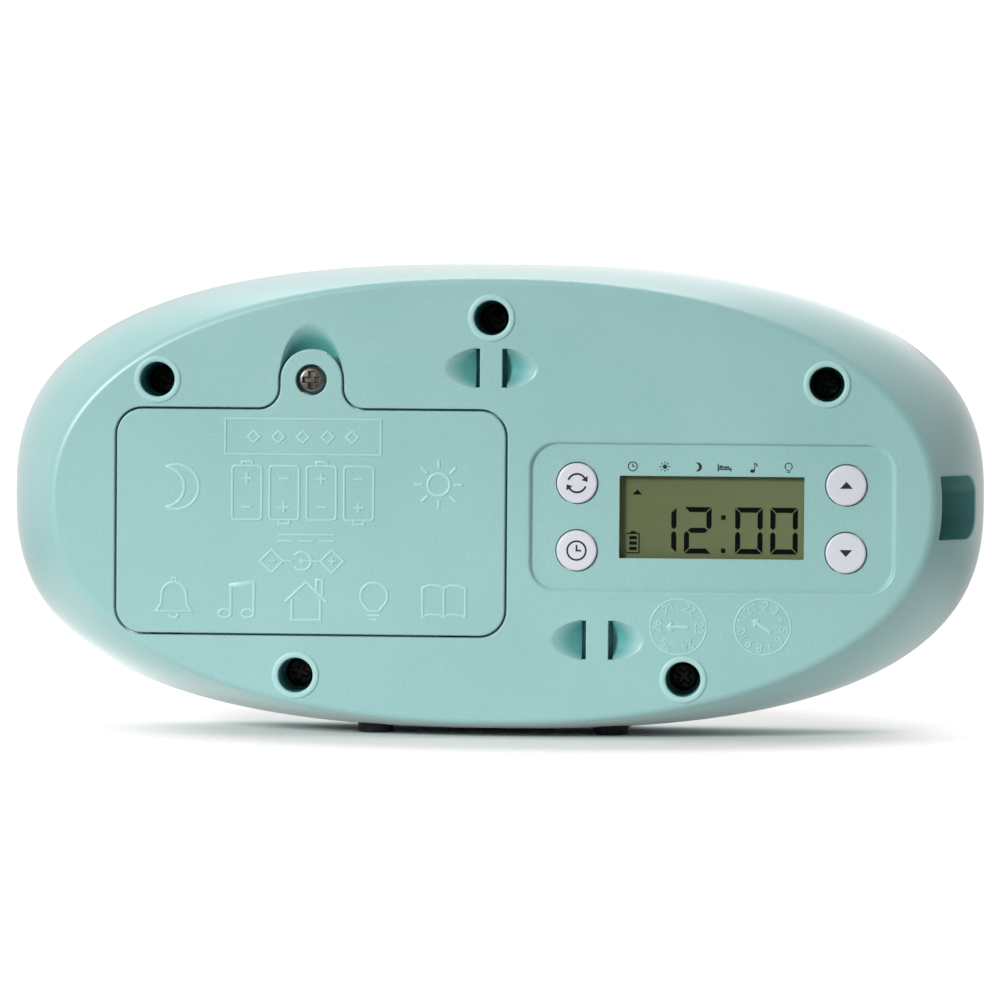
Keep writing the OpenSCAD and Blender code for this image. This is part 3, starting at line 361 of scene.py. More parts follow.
foot_points = [(x, y) for x in (-30, 30) for y in (-14, 12)]
foot_r = 4.5
foot_top = limits("feet")[1][2]


def foot_tool(x, y):
    """Upright socket that a rubber foot is glued into."""
    base = disc(x, y, foot_r, 0.11)
    return stack("socket", [np.stack([base[:, 0], base[:, 1], np.full(len(base), z)], -1)
                            for z in (-2, foot_top)])


skin = rear_skin()
rear_housing = cad_copy("rear_housing", "rear_case")
carve(rear_housing, "INTERSECT", [stack("crop", [skin[0] - [0, 1, 0]] + skin[1:])])
inner = [rear_ring(u, -skin_wall) for u in np.linspace(0, 1 - skin_wall / rear_depth, 20)]
shell = carve(stack("shell", skin), "DIFFERENCE", [stack("inner", [inner[0] - [0, 2, 0]] + inner)])
carve(rear_housing, "UNION", [shell] + [rim(*p) for p in well_points])
tools = [stack("door_pocket", mouth(door_outline, ledge_y, panel_y + skin_raise, 0.35)),
         stack("recess", mouth(lambda g: soft_rect(recess_x, recess_z, recess_w, recess_h,
                                                   recess_r, g, 14),
                               recess_y + 0.005, panel_y + skin_raise, 0.75, 0.44)),
         stack("opening", mouth(lambda g: soft_rect(recess_x, recess_z, lcd_w, lcd_h, 0.3, g, 4),
                                panel_y - 4, recess_y + 0.005, 0.12)),
         pocket_tool(), scoop(door_x, tab_z, (0, 1), thumb_r, thumb_reach, tab_r - 2.2),
         carve(scoop(door_x, tab_z, (0, 1), thumb_r, thumb_reach, 2.6), "DIFFERENCE", [
             stack("keep", [flat_ring(disc(door_x, tab_z, tab_r, 0.02, 96), y)
                            for y in (panel_y - 16, panel_y + 3)]),
             stack("deep", [flat_ring(soft_rect(door_x, tab_z, 40, 40, 1, 0), y)
                            for y in (panel_y - 16, ledge_y + 0.1)])])]
for x, z in button_points.values():
    tools.append(stack("hole", mouth(lambda g: disc(x, z, button_r + 0.26, g), recess_y - 1.7,
                                     recess_y + 0.005, 0.15)))
for x, z in well_points:
    tools.append(stack("well", mouth(lambda g: disc(x, z, well_bore + 0.01, g),
                                     well_floor_y + 0.01, panel_y + rim_h, 0.6)))
for point in anchor_points:
    tools += anchor_tools(*point)
tools += [foot_tool(x, y) for x, y in foot_points if y > 0]
carve(rear_housing, "DIFFERENCE", tools)
soften(rear_housing)


class Socket:
    """A shader socket. Arithmetic on it adds Math nodes, and node() adds any other node."""

    def __init__(self, tree, socket):
        self.tree, self.socket = tree, socket

    def node(self, kind, settings=None, values=None, out=0):
        """A node of that type: its settings are set first, then its sockets are given values
        or links, by name or number. Returns its output out."""
        made = self.tree.nodes.new("ShaderNode" + kind)
        for key, value in (settings or {}).items():
            if key == "stops":
                for stop, (place, colour) in zip(
                        [made.color_ramp.elements[0]] +
                        [made.color_ramp.elements.new(0.5) for _ in value[2:]] +
                        [made.color_ramp.elements[-1]], value):
                    stop.position, stop.color = place, colour
            else:
                setattr(made, key, value)
        for key, value in (values or {}).items():
            if isinstance(value, Socket):
                self.tree.links.new(value.socket, made.inputs[key])
            else:
                made.inputs[key].default_value = value
        return Socket(self.tree, made.outputs[out])

    def math(self, operation, first, second=0.0):
        return self.node("Math", {"operation": operation}, {0: first, 1: second})

    def __add__(self, other):
        return self.math("ADD", self, other)

    def __sub__(self, other):
        return self.math("SUBTRACT", self, other)

    def __rsub__(self, other):
        return self.math("SUBTRACT", other, self)

    def __mul__(self, other):
        return self.math("MULTIPLY", self, other)

    def __lt__(self, other):
        return self.math("LESS_THAN", self, other)

    def __gt__(self, other):
        return self.math("GREATER_THAN", self, other)

    def __abs__(self):
        return self.math("ABSOLUTE", self)

    __radd__, __rmul__ = __add__, __mul__

    def ramp(self, low, high):
        """0 below low, 1 above high, smooth between."""
        return self.node("MapRange", {"interpolation_type": "SMOOTHSTEP"},
                         {0: self, 1: low, 2: high})

    def sine(self):
        return self.math("SINE", self)

    def root(self):
        return self.math("SQRT", self)

    def mix(self, first, second):
        """Colour that goes from first to second as this socket goes from 0 to 1."""
        return self.node("Mix", {"data_type": "RGBA"}, {0: self, 6: first, 7: second}, 2)

    def noise(self, size, detail=2.0, roughness=0.5):
        """Noise from 0 to 1 whose blobs are about size millimetres across, on this vector."""
        return self.node("TexNoise", None, {"Vector": self, "Scale": 1 / (size * MM),
                                            "Detail": detail, "Roughness": roughness})

    def axis(self, letter):
        """One coordinate of this vector, in millimetres."""
        return self.node("SeparateXYZ", None, {0: self}, "XYZ".index(letter)) * (1 / MM)


def rgb(red, green, blue):
    """Linear colour from the 0 to 255 values of a colour chart."""
    chart = np.array([red, green, blue]) / 255
    linear = np.where(chart < 0.04045, chart / 12.92, ((chart + 0.055) / 1.055) ** 2.4)
    return (*linear.tolist(), 1.0)


def finish(name, build, **fixed):
    """Material: build(place, link) gets the object coordinates and a function that links a
    socket of the surface shader. fixed sets that shader's constant sockets."""
    made = bpy.data.materials.new(name)
    made.use_nodes = True
    tree = made.node_tree
    surface = tree.nodes["Principled BSDF"]
    for key, value in fixed.items():
        surface.inputs[key.replace("_", " ")].default_value = value
    place = Socket(tree, tree.nodes.new("ShaderNodeTexCoord").outputs["Object"])

    def link(key, value):
        tree.links.new(value.socket, surface.inputs[key])
    build(place, link)
    return made


def bump(height, strength, depth):
    """Normal that follows a height socket, depth millimetres deep."""
    return height.node("Bump", None, {"Strength": strength, "Distance": depth * MM,
                                      "Height": height})


def moulded(name, light, dark, rough, grain=0.55, depth=0.02, hollow=None, **fixed):
    """Moulded plastic: the tone drifts over wide soft patches where the melt flowed, and a
    fine spark-eroded grain lifts the surface and scatters the gloss. hollow gives the share
    of a darker, richer tone that is painted in as shade."""
    def build(place, link):
        drift = place.noise(38, 2).ramp(0.3, 0.7)
        specks = place.noise(grain, 3, 0.6)
        fine = place.noise(grain * 3.2, 2)
        tone = drift.mix(rgb(*light), rgb(*dark))
        # Painted shade: the hollows take a darker, richer tone.
        if hollow:
            tone = hollow(place).mix(tone, rgb(*painted_shade_mint))
        link("Base Color", tone.node("Mix", {"data_type": "RGBA", "blend_type": "SOFT_LIGHT"},
                                     {0: specks.ramp(0.35, 0.7) * 0.16, 6: tone,
                                      7: rgb(235, 245, 245)}, 2))
        link("Roughness", specks * 0.12 + fine * 0.08 + (rough - 0.1))
        link("Normal", bump(specks + fine * 0.5, 0.35, depth))
    return finish(name, build, **fixed)


# Darker, richer mint that is painted into the hollows as shade.
painted_shade_mint = (90, 164, 162)


def hollows(place):
    """Share of the darker, richer tone painted into the hollows as shade: it grows with the
    depth below the panel, inside the panel's oval, and leaves out the sunk control panel."""
    x, z, down = place.axis("X"), place.axis("Z"), panel_y - place.axis("Y")
    across, rise = x * (1 / panel_a), (z - panel_z) * (1 / panel_b)
    on_panel = 1 - (across * across + rise * rise).ramp(0.88, 0.94)
    in_recess = ((abs(x - recess_x) < recess_w / 2 + 2)
                 * (abs(z - recess_z) < recess_h / 2 + 2))
    return down.ramp(0.1, 2.6) * on_panel * (1 - in_recess)


mint_tones = (149, 194, 192), (144, 190, 188), 0.42
satin = {"Sheen_Weight": 0.85, "Sheen_Roughness": 0.35, "Coat_Weight": 0.4,
         "Coat_Roughness": 0.3}
# mint and mint_scoop take the painted shade in the hollows; mint_scoop has no sheen.
mint = moulded("mint_abs", *mint_tones, hollow=hollows, **satin)
mint_scoop = moulded("mint_abs_scoop", *mint_tones, hollow=hollows)
mint_front = moulded("mint_abs_front", *mint_tones, **satin)
# Darker copy of the mint: painted shade for the inside of the wells and the plug pocket.
mint_bore_shade = moulded("mint_abs_bore_shade", (88, 158, 156), (82, 152, 150), 0.42)
# Lighter copy of the mint with more sheen: a painted highlight for raised marks and the wells'
# rims.
mint_mark_highlight = moulded("mint_abs_mark_highlight", (166, 210, 208), (161, 206, 204), 0.4, Sheen_Weight=1.0,
                    Sheen_Roughness=0.35)


def place_piece(piece, material, body, slot, *replaced):
    """Gives a piece its material and its body, and hides what it replaces. slot is not used."""
    piece.data.materials.clear()
    piece.data.materials.append(material)
    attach(piece, body)
    if replaced:
        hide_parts(*replaced)
    return piece


place_piece(rear_housing, mint, "housing", "housing", "rear_housing")
for extra in (mint_bore_shade, mint_mark_highlight, mint_scoop):
    rear_housing.data.materials.append(extra)
# Faces of the wells and the plug pocket, of the wells' rims and of the scoops, by their middles.
# The wells and the pocket take the darker painted-shade copy, the rims the lighter
# painted-highlight copy and the scoops the copy without sheen.
near, scoop_rim = 0.03, 0.6
mids = np.empty(3 * len(rear_housing.data.polygons))
rear_housing.data.polygons.foreach_get("center", mids)
mid_x, mid_y, mid_z = mids.reshape(-1, 3).T / MM
corner_y = np.maximum(pocket_y - mid_y - pocket_d / 2 + pocket_r, 0)
corner_z = np.maximum(np.abs(mid_z - pocket_z) - pocket_h / 2 + pocket_r, 0)
in_bore = ((mid_x < pocket_back + 1) & (mid_y - pocket_y < pocket_d / 2 + near)
           & (np.hypot(corner_y, corner_z) < pocket_r + near))
on_rim = np.zeros_like(in_bore)
for x, z in well_points:
    from_axis = np.hypot(mid_x - x, mid_z - z)
    in_bore |= ((from_axis < well_bore + near) & (mid_y < panel_y - 1)
                & (mid_y > well_floor_y - 0.1))
    on_rim |= (from_axis < well_r + 0.2) & (mid_y > panel_y + 0.04)
in_scoop = ((np.abs(mid_x - door_x) < thumb_r + scoop_rim) & (mid_z > tab_z)
            & (mid_z < tab_z + thumb_reach + scoop_rim))
for x, z in anchor_points:
    in_scoop |= ((np.abs(mid_x - x) < anchor_reach + scoop_rim)
                 & (np.abs(mid_z - z) < anchor_half + scoop_rim))
in_scoop &= mid_y < panel_y - 0.12
rear_housing.data.polygons.foreach_set(
    "material_index", (in_bore + 2 * on_rim + 3 * in_scoop).astype(np.int32))

# ------------------------------------------------------------------ date wheels
# Two small date dials from inserts in the mould: fine raised numbers round an arrow. They
# are part of the back panel's own plastic, and stand a fraction of a millimetre above it.

relief_h = 0.24


def ridge(path, width, base_y, height=relief_h, closed=False):
    """Raised line along [x, z] points: at each point a low round profile stands across the
    path, mitred at its corners. Returns its points and faces; the ends are tapered."""
    path = np.asarray(path, float)
    ahead = np.roll(path, -1, 0) - path
    behind = path - np.roll(path, 1, 0)
    if not closed:
        ahead[-1], behind[0] = behind[-1], ahead[0]
    ahead /= np.linalg.norm(ahead, axis=1)[:, None]
    behind /= np.linalg.norm(behind, axis=1)[:, None]
    normal = np.stack([-(ahead + behind)[:, 1], (ahead + behind)[:, 0]], -1)
    normal /= np.maximum(np.linalg.norm(normal, axis=1), 0.3)[:, None]
    miter = 1 / np.clip((normal * np.stack([-ahead[:, 1], ahead[:, 0]], -1)).sum(1), 0.55, 1)
    across = np.array([-0.5, -0.42, -0.22, 0, 0.22, 0.42, 0.5])
    rise = np.array([-0.25, 0.5, 0.92, 1, 0.92, 0.5, -0.25])
    if not closed:
        path = np.concatenate([path[:1] - behind[:1] * width * 0.3, path,
                               path[-1:] + ahead[-1:] * width * 0.3])
        normal, miter = normal[[0, *range(len(normal)), -1]], miter[[0, *range(len(miter)), -1]]
    spread = np.ones(len(path))
    if not closed:
        spread[[0, -1]] = 0.45
    offset = (across[None] * (width * spread * miter)[:, None])[..., None] * normal[:, None]
    flat = path[:, None] + offset
    lift = base_y + height * rise[None] * np.where(spread < 1, 0.2, 1)[:, None]
    points = np.stack([flat[..., 0], lift, flat[..., 1]], -1)
    rows, columns = points.shape[:2]
    index = np.arange(rows * columns).reshape(rows, columns)
    if closed:
        index = np.concatenate([index, index[:1]])
    faces = quads(index, True)
    if not closed:
        faces += index[[0, -1]].tolist()
    return points.reshape(-1, 3), faces


def join(shapes):
    """Joins lists of points and faces into one list of each."""
    points, faces, start = [], [], 0
    for some, polygons in shapes:
        points.append(np.asarray(some, float).reshape(-1, 3))
        faces += [[i + start for i in polygon] for polygon in polygons]
        start += len(points[-1])
    return np.concatenate(points), faces


figures = {
    "0": [np.stack([0.42 * np.cos(turn(20)), 0.8 * np.sin(turn(20))], -1)],
    "1": [[(-0.3, 0.45), (0.08, 0.8), (0.08, -0.8)]],
    "2": [np.concatenate([arc(0, 0.38, 0.42, 160, -35, 10), [(-0.42, -0.8), (0.46, -0.8)]])],
    "3": [np.concatenate([arc(0, 0.42, 0.38, 150, -80, 9), arc(0, -0.38, 0.42, 80, -150, 10)])],
    "4": [[(0.2, -0.8), (0.2, 0.8), (-0.48, -0.3), (0.52, -0.3)]],
    "5": [np.concatenate([[(0.42, 0.8), (-0.3, 0.8), (-0.36, 0.05)],
                          arc(0, -0.32, 0.46, 120, -140, 11)])],
    "6": [arc(0, -0.36, 0.43, 0, 345, 16), [(0.3, 0.8), (-0.22, 0.35), (-0.43, -0.3)]],
    "7": [[(-0.42, 0.8), (0.42, 0.8), (-0.1, -0.8)]],
    "8": [arc(0, 0.42, 0.37, 0, 345, 16), arc(0, -0.38, 0.43, 0, 345, 16)]}
figures["9"] = [-np.asarray(path) for path in figures["6"]]


def numeral(text, x, z, height, angle, base_y):
    """Raised number: each figure's lines on a cell 1.6 units high, turned by angle about
    x, z. The panel is read from behind, so a number's right-hand side lies towards -X."""
    unit, c, s, shapes = height / 1.6, cos(angle), sin(angle), []
    for k, figure in enumerate(text):
        for path in figures[figure]:
            a, b = (np.asarray(path, float) * unit).T
            a = a + (k - (len(text) - 1) / 2) * 1.25 * unit
            shapes.append(ridge(np.stack([x - a * c + b * s, z + a * s + b * c], -1), 0.46,
                                base_y, 0.2, np.hypot(a[0] - a[-1], b[0] - b[-1]) < 0.3))
    return shapes


def date_dial(x, z, numbers, first, heading):
    """Thin ring, numbers that stand round it from angle first, and an arrow at heading."""
    r, base = 7.0, panel_y + skin_raise
    shapes = [ridge(disc(x, z, r, 0, 96), 0.5, base, 0.18, True)]
    for k, number in enumerate(numbers):
        q = first - k * 2 * pi / len(numbers)
        shapes += numeral(number, x - 5.3 * cos(q), z + 5.3 * sin(q), 2.0, q - pi / 2, base)
    way = np.array([-cos(heading), sin(heading)])
    side_way = np.array([-way[1], way[0]])
    centre = np.array([x, z])
    tip, tail = centre + 2.6 * way, centre - 2.4 * way
    shapes.append(ridge([tail, tip], 1.0, base, 0.3))
    shapes.append(ridge([tip - 0.9 * way + 0.9 * side_way, tip, tip - 0.9 * way - 0.9 * side_way],
                        0.8, base, 0.3))
    return shapes


dials = (date_dial(-47.42, 28.54, ["21", "22", "23", "24", "25", "26"], radians(118), pi)
         + date_dial(-68.5, 28.77, [str(k) for k in range(1, 13)], radians(112), radians(147)))
# The dials take the lighter copy of the mint, a painted highlight on their ridges.
place_piece(put_mesh("date_dials", *join(dials)), mint_mark_highlight, "housing", "housing")

# ------------------------------------------------------------------ front housing
# The front shell of the same mint plastic: a quarter-round bezel that runs in to the night
# light's opening, with a speaker grille below it. Five posts inside take the case screws.

bezel_y = limits("front_housing")[0][1]
bezel_depth = part_y - bezel_y
lens_a, lens_b, lens_n, lens_z = 96.0, 33.0, 2.3, body_z + 3
lens_seat, grille_depth = 2.61, 9.41


def front_ring(q, out):
    """Ring of the bezel at angle q of its quarter round: half sizes go from the body's to
    the opening's with 1 - cos q, and the ring moves forward with sin q."""
    s = 1 - cos(q)
    a, b = body_a + out, body_b + out
    return oval(a - s * (a - lens_a), b - s * (b - lens_b), body_n - s * (body_n - lens_n),
                part_y - (bezel_depth + out) * sin(q), body_z + s * (lens_z - body_z),
                turn(round_steps))


def lens_ring(grow, y):
    """Ring of the night light's outline, moved outwards by grow."""
    return oval(lens_a + grow, lens_b + grow, lens_n, y, lens_z, turn(round_steps))


front_housing = cad_copy("front_housing", "front_case")
bezel = [front_ring(q, skin_raise) for q in np.linspace(pi / 2, 0.01, 36)] + [front_ring(0, -0.3)]
hollow = [front_ring(q, -skin_wall) for q in np.linspace(pi / 2, 0, 36)]
shell = carve(stack("bezel", bezel), "DIFFERENCE",
              [stack("hollow", hollow + [hollow[-1] + [0, 2, 0]])])
carve(front_housing, "UNION", [shell])
lip = [lens_ring(0.01 + 0.5 * (1 - cos(q)), bezel_y - 0.01 + 0.5 * (1 - sin(q)))
       for q in np.linspace(0, pi / 2, 6)]
tools = [stack("opening", [lip[0] - [0, 2, 0]] + lip + [lens_ring(0.01, bezel_y + lens_seat)])]
speaker_low, speaker_high = limits("speaker_frame")
speaker_z = (speaker_low[2] + speaker_high[2]) / 2
grille_r, grille_step, grille_row = 1.01, 4.6, 3.9
grille = [((i + row / 2) * grille_step, speaker_z + row * grille_row)
          for row in (-1, 0, 1) for i in range(-3, 4)]
for x, z in grille:
    tools.append(stack("hole", [flat_ring(disc(x, z, grille_r, 0, 28), y)
                                for y in (bezel_y - 1, bezel_y + grille_depth)]))
tools += [foot_tool(x, y) for x, y in foot_points if y < 0]
carve(front_housing, "DIFFERENCE", tools)
soften(front_housing)
place_piece(front_housing, mint_front, "housing", "housing", "front_housing")

# ------------------------------------------------------------------ night light
# Milky domed lens, pressed into the bezel from inside. Behind it lie a dark film with a
# plain sun and a crescent cut out, a white reflector tray and a board with six LEDs.

lens_low, lens_high = limits("night_light_lens")
dome_h, lens_gap, lens_wall = bezel_y - (lens_low[1] - 0.02), 0.3, 1.8
flange_y, flange_back, flange_out = bezel_y + 2.95, lens_high[1], 3.0


def dome(grow, set_back, turns):
    """Rings of the dome: half sizes grow with sin q while it falls back with cos q."""
    return [oval((lens_a + grow) * sin(q), (lens_b + grow) * sin(q), lens_n,
                 bezel_y + set_back - dome_h * cos(q), lens_z, turn(round_steps)) for q in turns]


turns = np.linspace(0.02, pi / 2, 40)
back = -lens_gap - lens_wall
lens_rings = (dome(-lens_gap, 0, turns)
              + [lens_ring(-lens_gap, flange_y), lens_ring(flange_out - 0.3, flange_y),
                 lens_ring(flange_out, flange_y + 0.3), lens_ring(flange_out, flange_back),
                 lens_ring(back, flange_back)] + dome(back, lens_wall, turns[::-1]))
night_lens = stack("night_lens", lens_rings)


sign_x, ray_at = 40, 14.5


def milky(place, link):
    """Milky plastic with painted show-through light: painted warmer where the film behind it is
    open, in the sun's disc and rays and in the crescent, which is one circle less another."""
    x, z = place.axis("X"), place.axis("Z")

    def round_spot(at_x, at_z, r):
        across, rise = x - at_x, z - at_z
        return 1 - (across * across + rise * rise).root().ramp(r - 0.9, r + 0.9)
    moon = round_spot(-sign_x, lens_z, 14) * (1 - round_spot(6.5 - sign_x, lens_z + 3, 12))
    painted_glow_mask = round_spot(sign_x, lens_z, 9) + moon
    for q in turn(8):
        painted_glow_mask = painted_glow_mask + round_spot(sign_x + ray_at * cos(q), lens_z + ray_at * sin(q), 2.2)
    cloud = place.noise(22, 3).ramp(0.25, 0.75) * 0.3
    tone = cloud.mix(rgb(216, 221, 219), rgb(208, 214, 213))
    # Painted light: the film's openings are painted in as a warm glow through the lens.
    link("Base Color", (painted_glow_mask * 0.8).mix(tone, rgb(244, 226, 178)))
    link("Roughness", place.noise(0.6, 2) * 0.12 + 0.3)
    link("Normal", bump(place.noise(0.7, 2), 0.2, 0.01))


milk = finish("milky_lens", milky, Subsurface_Weight=0.25, Subsurface_Scale=0.004)
place_piece(night_lens, milk, "housing", "lens", "night_light_lens")


def cover(material, *names):
    """Gives frame nodes a material."""
    for name in names:
        for slot in nodes[name].material_slots:
            slot.material = material


def steel(name, tone, rough, stretch=(1, 1, 1), **fixed):
    """Drawn or rolled metal: fine lines along one direction scatter the gloss, over small
    patches of duller plating."""
    def build(place, link):
        lines = place.node("Mapping", None, {0: place, 3: stretch}).noise(0.5, 3, 0.6)
        dull = place.noise(2.4, 3).ramp(0.42, 0.72)
        worn = rgb(*(0.72 * v for v in tone))
        link("Base Color", (dull * 0.5 + lines * 0.3).mix(rgb(*tone), worn))
        link("Roughness", lines * 0.18 + dull * 0.16 + rough)
        link("Normal", bump(lines, 0.2, 0.01))
    return finish(name, build, Metallic=1.0, **fixed)


nickel = steel("nickel_plated_steel", (205, 203, 196), 0.2, (1, 4, 1))
film = moulded("printed_film", (58, 84, 98), (50, 74, 88), 0.5, 0.3, 0.005)
tray_white = moulded("white_abs", (238, 240, 238), (230, 234, 232), 0.35, 0.5, 0.01)


def circuit(name, mask, track, pitch):
    """Lacquered circuit board: straight tracks run under the lacquer in two directions where
    a coarse noise allows them, with a faint weave of the glass cloth."""
    def build(place, link):
        x, z = place.axis("X"), place.axis("Z")
        here = place.noise(9, 1) > 0.52
        runs_x = ((z * (2 * pi / pitch)).sine() > 0.62) * here
        runs_z = ((x * (2 * pi / pitch)).sine() > 0.62) * (1 - here)
        weave = place.noise(0.35, 2)
        tracks = runs_x + runs_z
        link("Base Color", (tracks * 0.75 + weave * 0.2).mix(rgb(*mask), rgb(*track)))
        link("Roughness", weave * 0.12 + 0.28)
        link("Normal", bump(tracks + weave * 0.3, 0.3, 0.03))
    return finish(name, build)


white_board = circuit("white_circuit_board", (236, 236, 230), (222, 224, 216), 2.4)


def led_epoxy(place, link):
    """Warm phosphor under clear epoxy: the yellow is deeper in some small soft patches."""
    glow_patch = place.noise(1.6, 2).ramp(0.3, 0.7)
    link("Base Color", glow_patch.mix(rgb(250, 226, 150), rgb(255, 243, 205)))
    link("Roughness", place.noise(0.8, 2) * 0.1 + 0.08)


cover(film, "light_mask")
cover(tray_white, "reflector_tray")
cover(white_board, "led_board")
cover(finish("led_epoxy", led_epoxy, Coat_Weight=0.5), "light_leds")
cover(nickel, "tray_screws", "led_board_screws")

# ------------------------------------------------------------------ speaker
# Oval speaker behind the grille: stamped frame, paper cone, magnet and foam gasket, held
# by a pressed bracket with two screws.


def paper(place, link):
    """Pressed black paper: short fibres, and rings pressed round the cone's middle."""
    x, z = place.axis("X"), place.axis("Z") - speaker_z
    rings = ((x * x + z * z).root() * 4).sine()
    fibres = place.noise(0.25, 4, 0.7)
    link("Base Color", fibres.mix(rgb(34, 34, 35), rgb(60, 58, 56)))
    link("Roughness", fibres * 0.1 + 0.8)
    link("Normal", bump(fibres + rings * 0.3, 0.5, 0.05))


black_rubber = moulded("black_foam_rubber", (34, 35, 36), (28, 29, 30), 0.78, 0.3, 0.03)
cover(finish("cone_paper", paper), "speaker_cone")
cover(steel("zinc_plated_frame", (150, 154, 156), 0.32, (1, 1, 5)), "speaker_frame")
cover(black_rubber, "speaker_gasket")
cover(nickel, "speaker_magnet", "speaker_bracket", "speaker_screws")

# ------------------------------------------------------------------ battery bay
# Four AA cells stand side by side between nickel contact plates, each with a coil spring at
# its flat end. The cells wear plain printed jackets with polarity marks.

cell_low, cell_high = limits("battery_cells")
cell_mid_z = (cell_low[2] + cell_high[2]) / 2
cell_d = 14.5
cell_pitch = (cell_high[0] - cell_low[0] - cell_d) / 3


def jacket(place, link):
    """Shrink jacket: steel-blue with a copper-coloured band at one end, which changes ends
    from cell to cell, and bare steel at the rims and the nub."""
    x, z = place.axis("X"), place.axis("Z")
    across = (x - (cell_low[0] - 0.25)) * (1 / cell_pitch)
    odd = x.math("PINGPONG", x.math("FLOOR", across), 1.0)
    rise = z - cell_mid_z
    height = rise * (1 - odd * 2)
    band = height.ramp(11.6, 11.9)
    rim_bare = abs(rise).ramp(24.6, 24.7)
    fine = place.noise(0.5, 3)
    sleeve = band.mix(rgb(52, 66, 84), rgb(196, 128, 72))
    link("Base Color", rim_bare.mix(sleeve, rgb(200, 200, 196)))
    link("Metallic", rim_bare * 0.7 + band * 0.3)
    link("Roughness", fine * 0.12 + 0.24)
    link("Normal", bump(fine, 0.15, 0.01))


cover(finish("cell_jacket", jacket), "battery_cells")
cover(nickel, "battery_springs", "battery_contacts")

# ------------------------------------------------------------------ battery door
# Flat mint door with a round screw tab. Two hooks at its lower edge hold it and its captive
# screw closes it. Its face carries a few plain raised marks: a bare frame, the way the cells
# lie, the polarity of the plug and small household signs.

plate_back, marks_y = panel_y - 2.2, panel_y + 0.005
door = cad_copy("battery_door", "battery_door_panel")
keep = [flat_ring(door_outline(4), y) for y in (plate_back - 12, plate_back - 0.002)]
carve(door, "INTERSECT", [stack("keep", keep)])
edge = [flat_ring(door_outline(-door_gap - 0.4 * (1 - sin(q))), marks_y - 0.4 * (1 - cos(q)))
        for q in np.linspace(pi / 2, 0, 7)]
plate = stack("plate", [flat_ring(door_outline(-door_gap), plate_back - 0.005)] + edge)
carve(door, "UNION", [plate])
cup_bore, cup_floor_y = 3.9, panel_y - 2.6
carve(door, "DIFFERENCE", [stack("cup", mouth(lambda g: disc(door_x, tab_z, cup_bore + 0.01, g),
                                              cup_floor_y + 0.005, marks_y, 0.3, 0.2))])
soften(door)
place_piece(door, mint, "door", "housing", "battery_door")


def line(points, width=0.5, closed=False):
    """Raised line on the door's face: its foot is half as wide again as its crest."""
    return ridge(points, 1.5 * width, marks_y, relief_h, closed)


def lines(x, z, *paths, width=0.5):
    """Raised lines about x, z: each path is a list of offsets [x, z] from there."""
    return [line([(x + a, z + b) for a, b in path], width) for path in paths]


def box_line(x, z, w, h, r=0.15, width=0.5):
    """Raised outline of a rectangle with round corners."""
    return line(soft_rect(x, z, w, h, r, 0, 4), width, True)


def bow(x, z, r, start, end, width=0.5):
    """Raised arc about x, z; angles are in degrees."""
    return line(arc(x, z, r, start, end, 28), width)


def diamond(x, z, r):
    """Raised outline of a square that stands on its corner."""
    return line([(x + r, z), (x, z + r), (x - r, z), (x, z - r)], 0.42, True)


def crescent(x, z, r, steps):
    """Outline of a crescent: the outer circle's arc, closed by an arc of a second circle."""
    return np.concatenate([arc(x, z, r, 64, 296, steps),
                           arc(x + 0.55 * r, z, 0.9 * r, 263, 97, steps - 6)])


def cell_sign(x, z, way):
    """One cell: its outline, its nub and the signs of its poles. Way is 1 for nub up, or -1."""
    nub, pole = way * 6.75, way * 3.6
    nub_top = nub + way * 1.05
    return [box_line(x, z, 7.4, 13.5, 0.8, 0.45),
            *lines(x, z, [(-1.3, nub), (-1.3, nub_top), (1.3, nub_top), (1.3, nub)], width=0.45),
            *lines(x, z, [(-1.2, pole), (1.2, pole)], [(0, pole - 1.2), (0, pole - 0.25)],
                   [(0, pole + 0.25), (0, pole + 1.2)], [(-1.2, -pole), (1.2, -pole)])]


def plug_sign(x, z):
    """Polarity of a barrel plug: minus and plus diamonds on a centre dot inside an open ring."""
    return [diamond(x + 7.6, z, 2.9), diamond(x - 7.6, z, 2.9), bow(x, z, 2.3, 40, 320),
            line(disc(x, z, 0.3, 0, 16), 0.5, True),
            *lines(x, z, [(4.6, 0), (2.5, 0)], [(-4.6, 0), (-0.6, 0)], [(8.5, 0), (6.7, 0)],
                   [(-8.5, 0), (-6.7, 0)], [(-7.6, -0.9), (-7.6, -0.2)],
                   [(-7.6, 0.2), (-7.6, 0.9)], width=0.42)]


def direct_current_sign(x, z):
    """Direct current: a whole line above three dashes."""
    return lines(x, z, [(-7.1, 0.8), (7.1, 0.8)],
                 *([(k - 1.9, -0.8), (k + 1.9, -0.8)] for k in (-5.2, 0, 5.2)), width=0.4)


def sun_sign(x, z, r):
    """Small sun: a circle and eight rays."""
    return [line(disc(x, z, 0.46 * r, 0, 36), 0.55, True),
            *lines(x, z, *([(a * cos(q), a * sin(q)) for a in (r * 0.68, r)] for q in turn(8)),
                   width=0.55)]


def house_sign(x, z):
    """For use in the house: walls under a wide roof with a chimney."""
    return lines(x, z, [(3.6, 0.2), (3.6, -5), (-3.6, -5), (-3.6, 0.2)],
                 [(5.2, -0.4), (0, 4.6), (-5.2, -0.4)],
                 [(-2.6, 2.6), (-2.6, 5.2), (-4.1, 5.2), (-4.1, 1.2)])


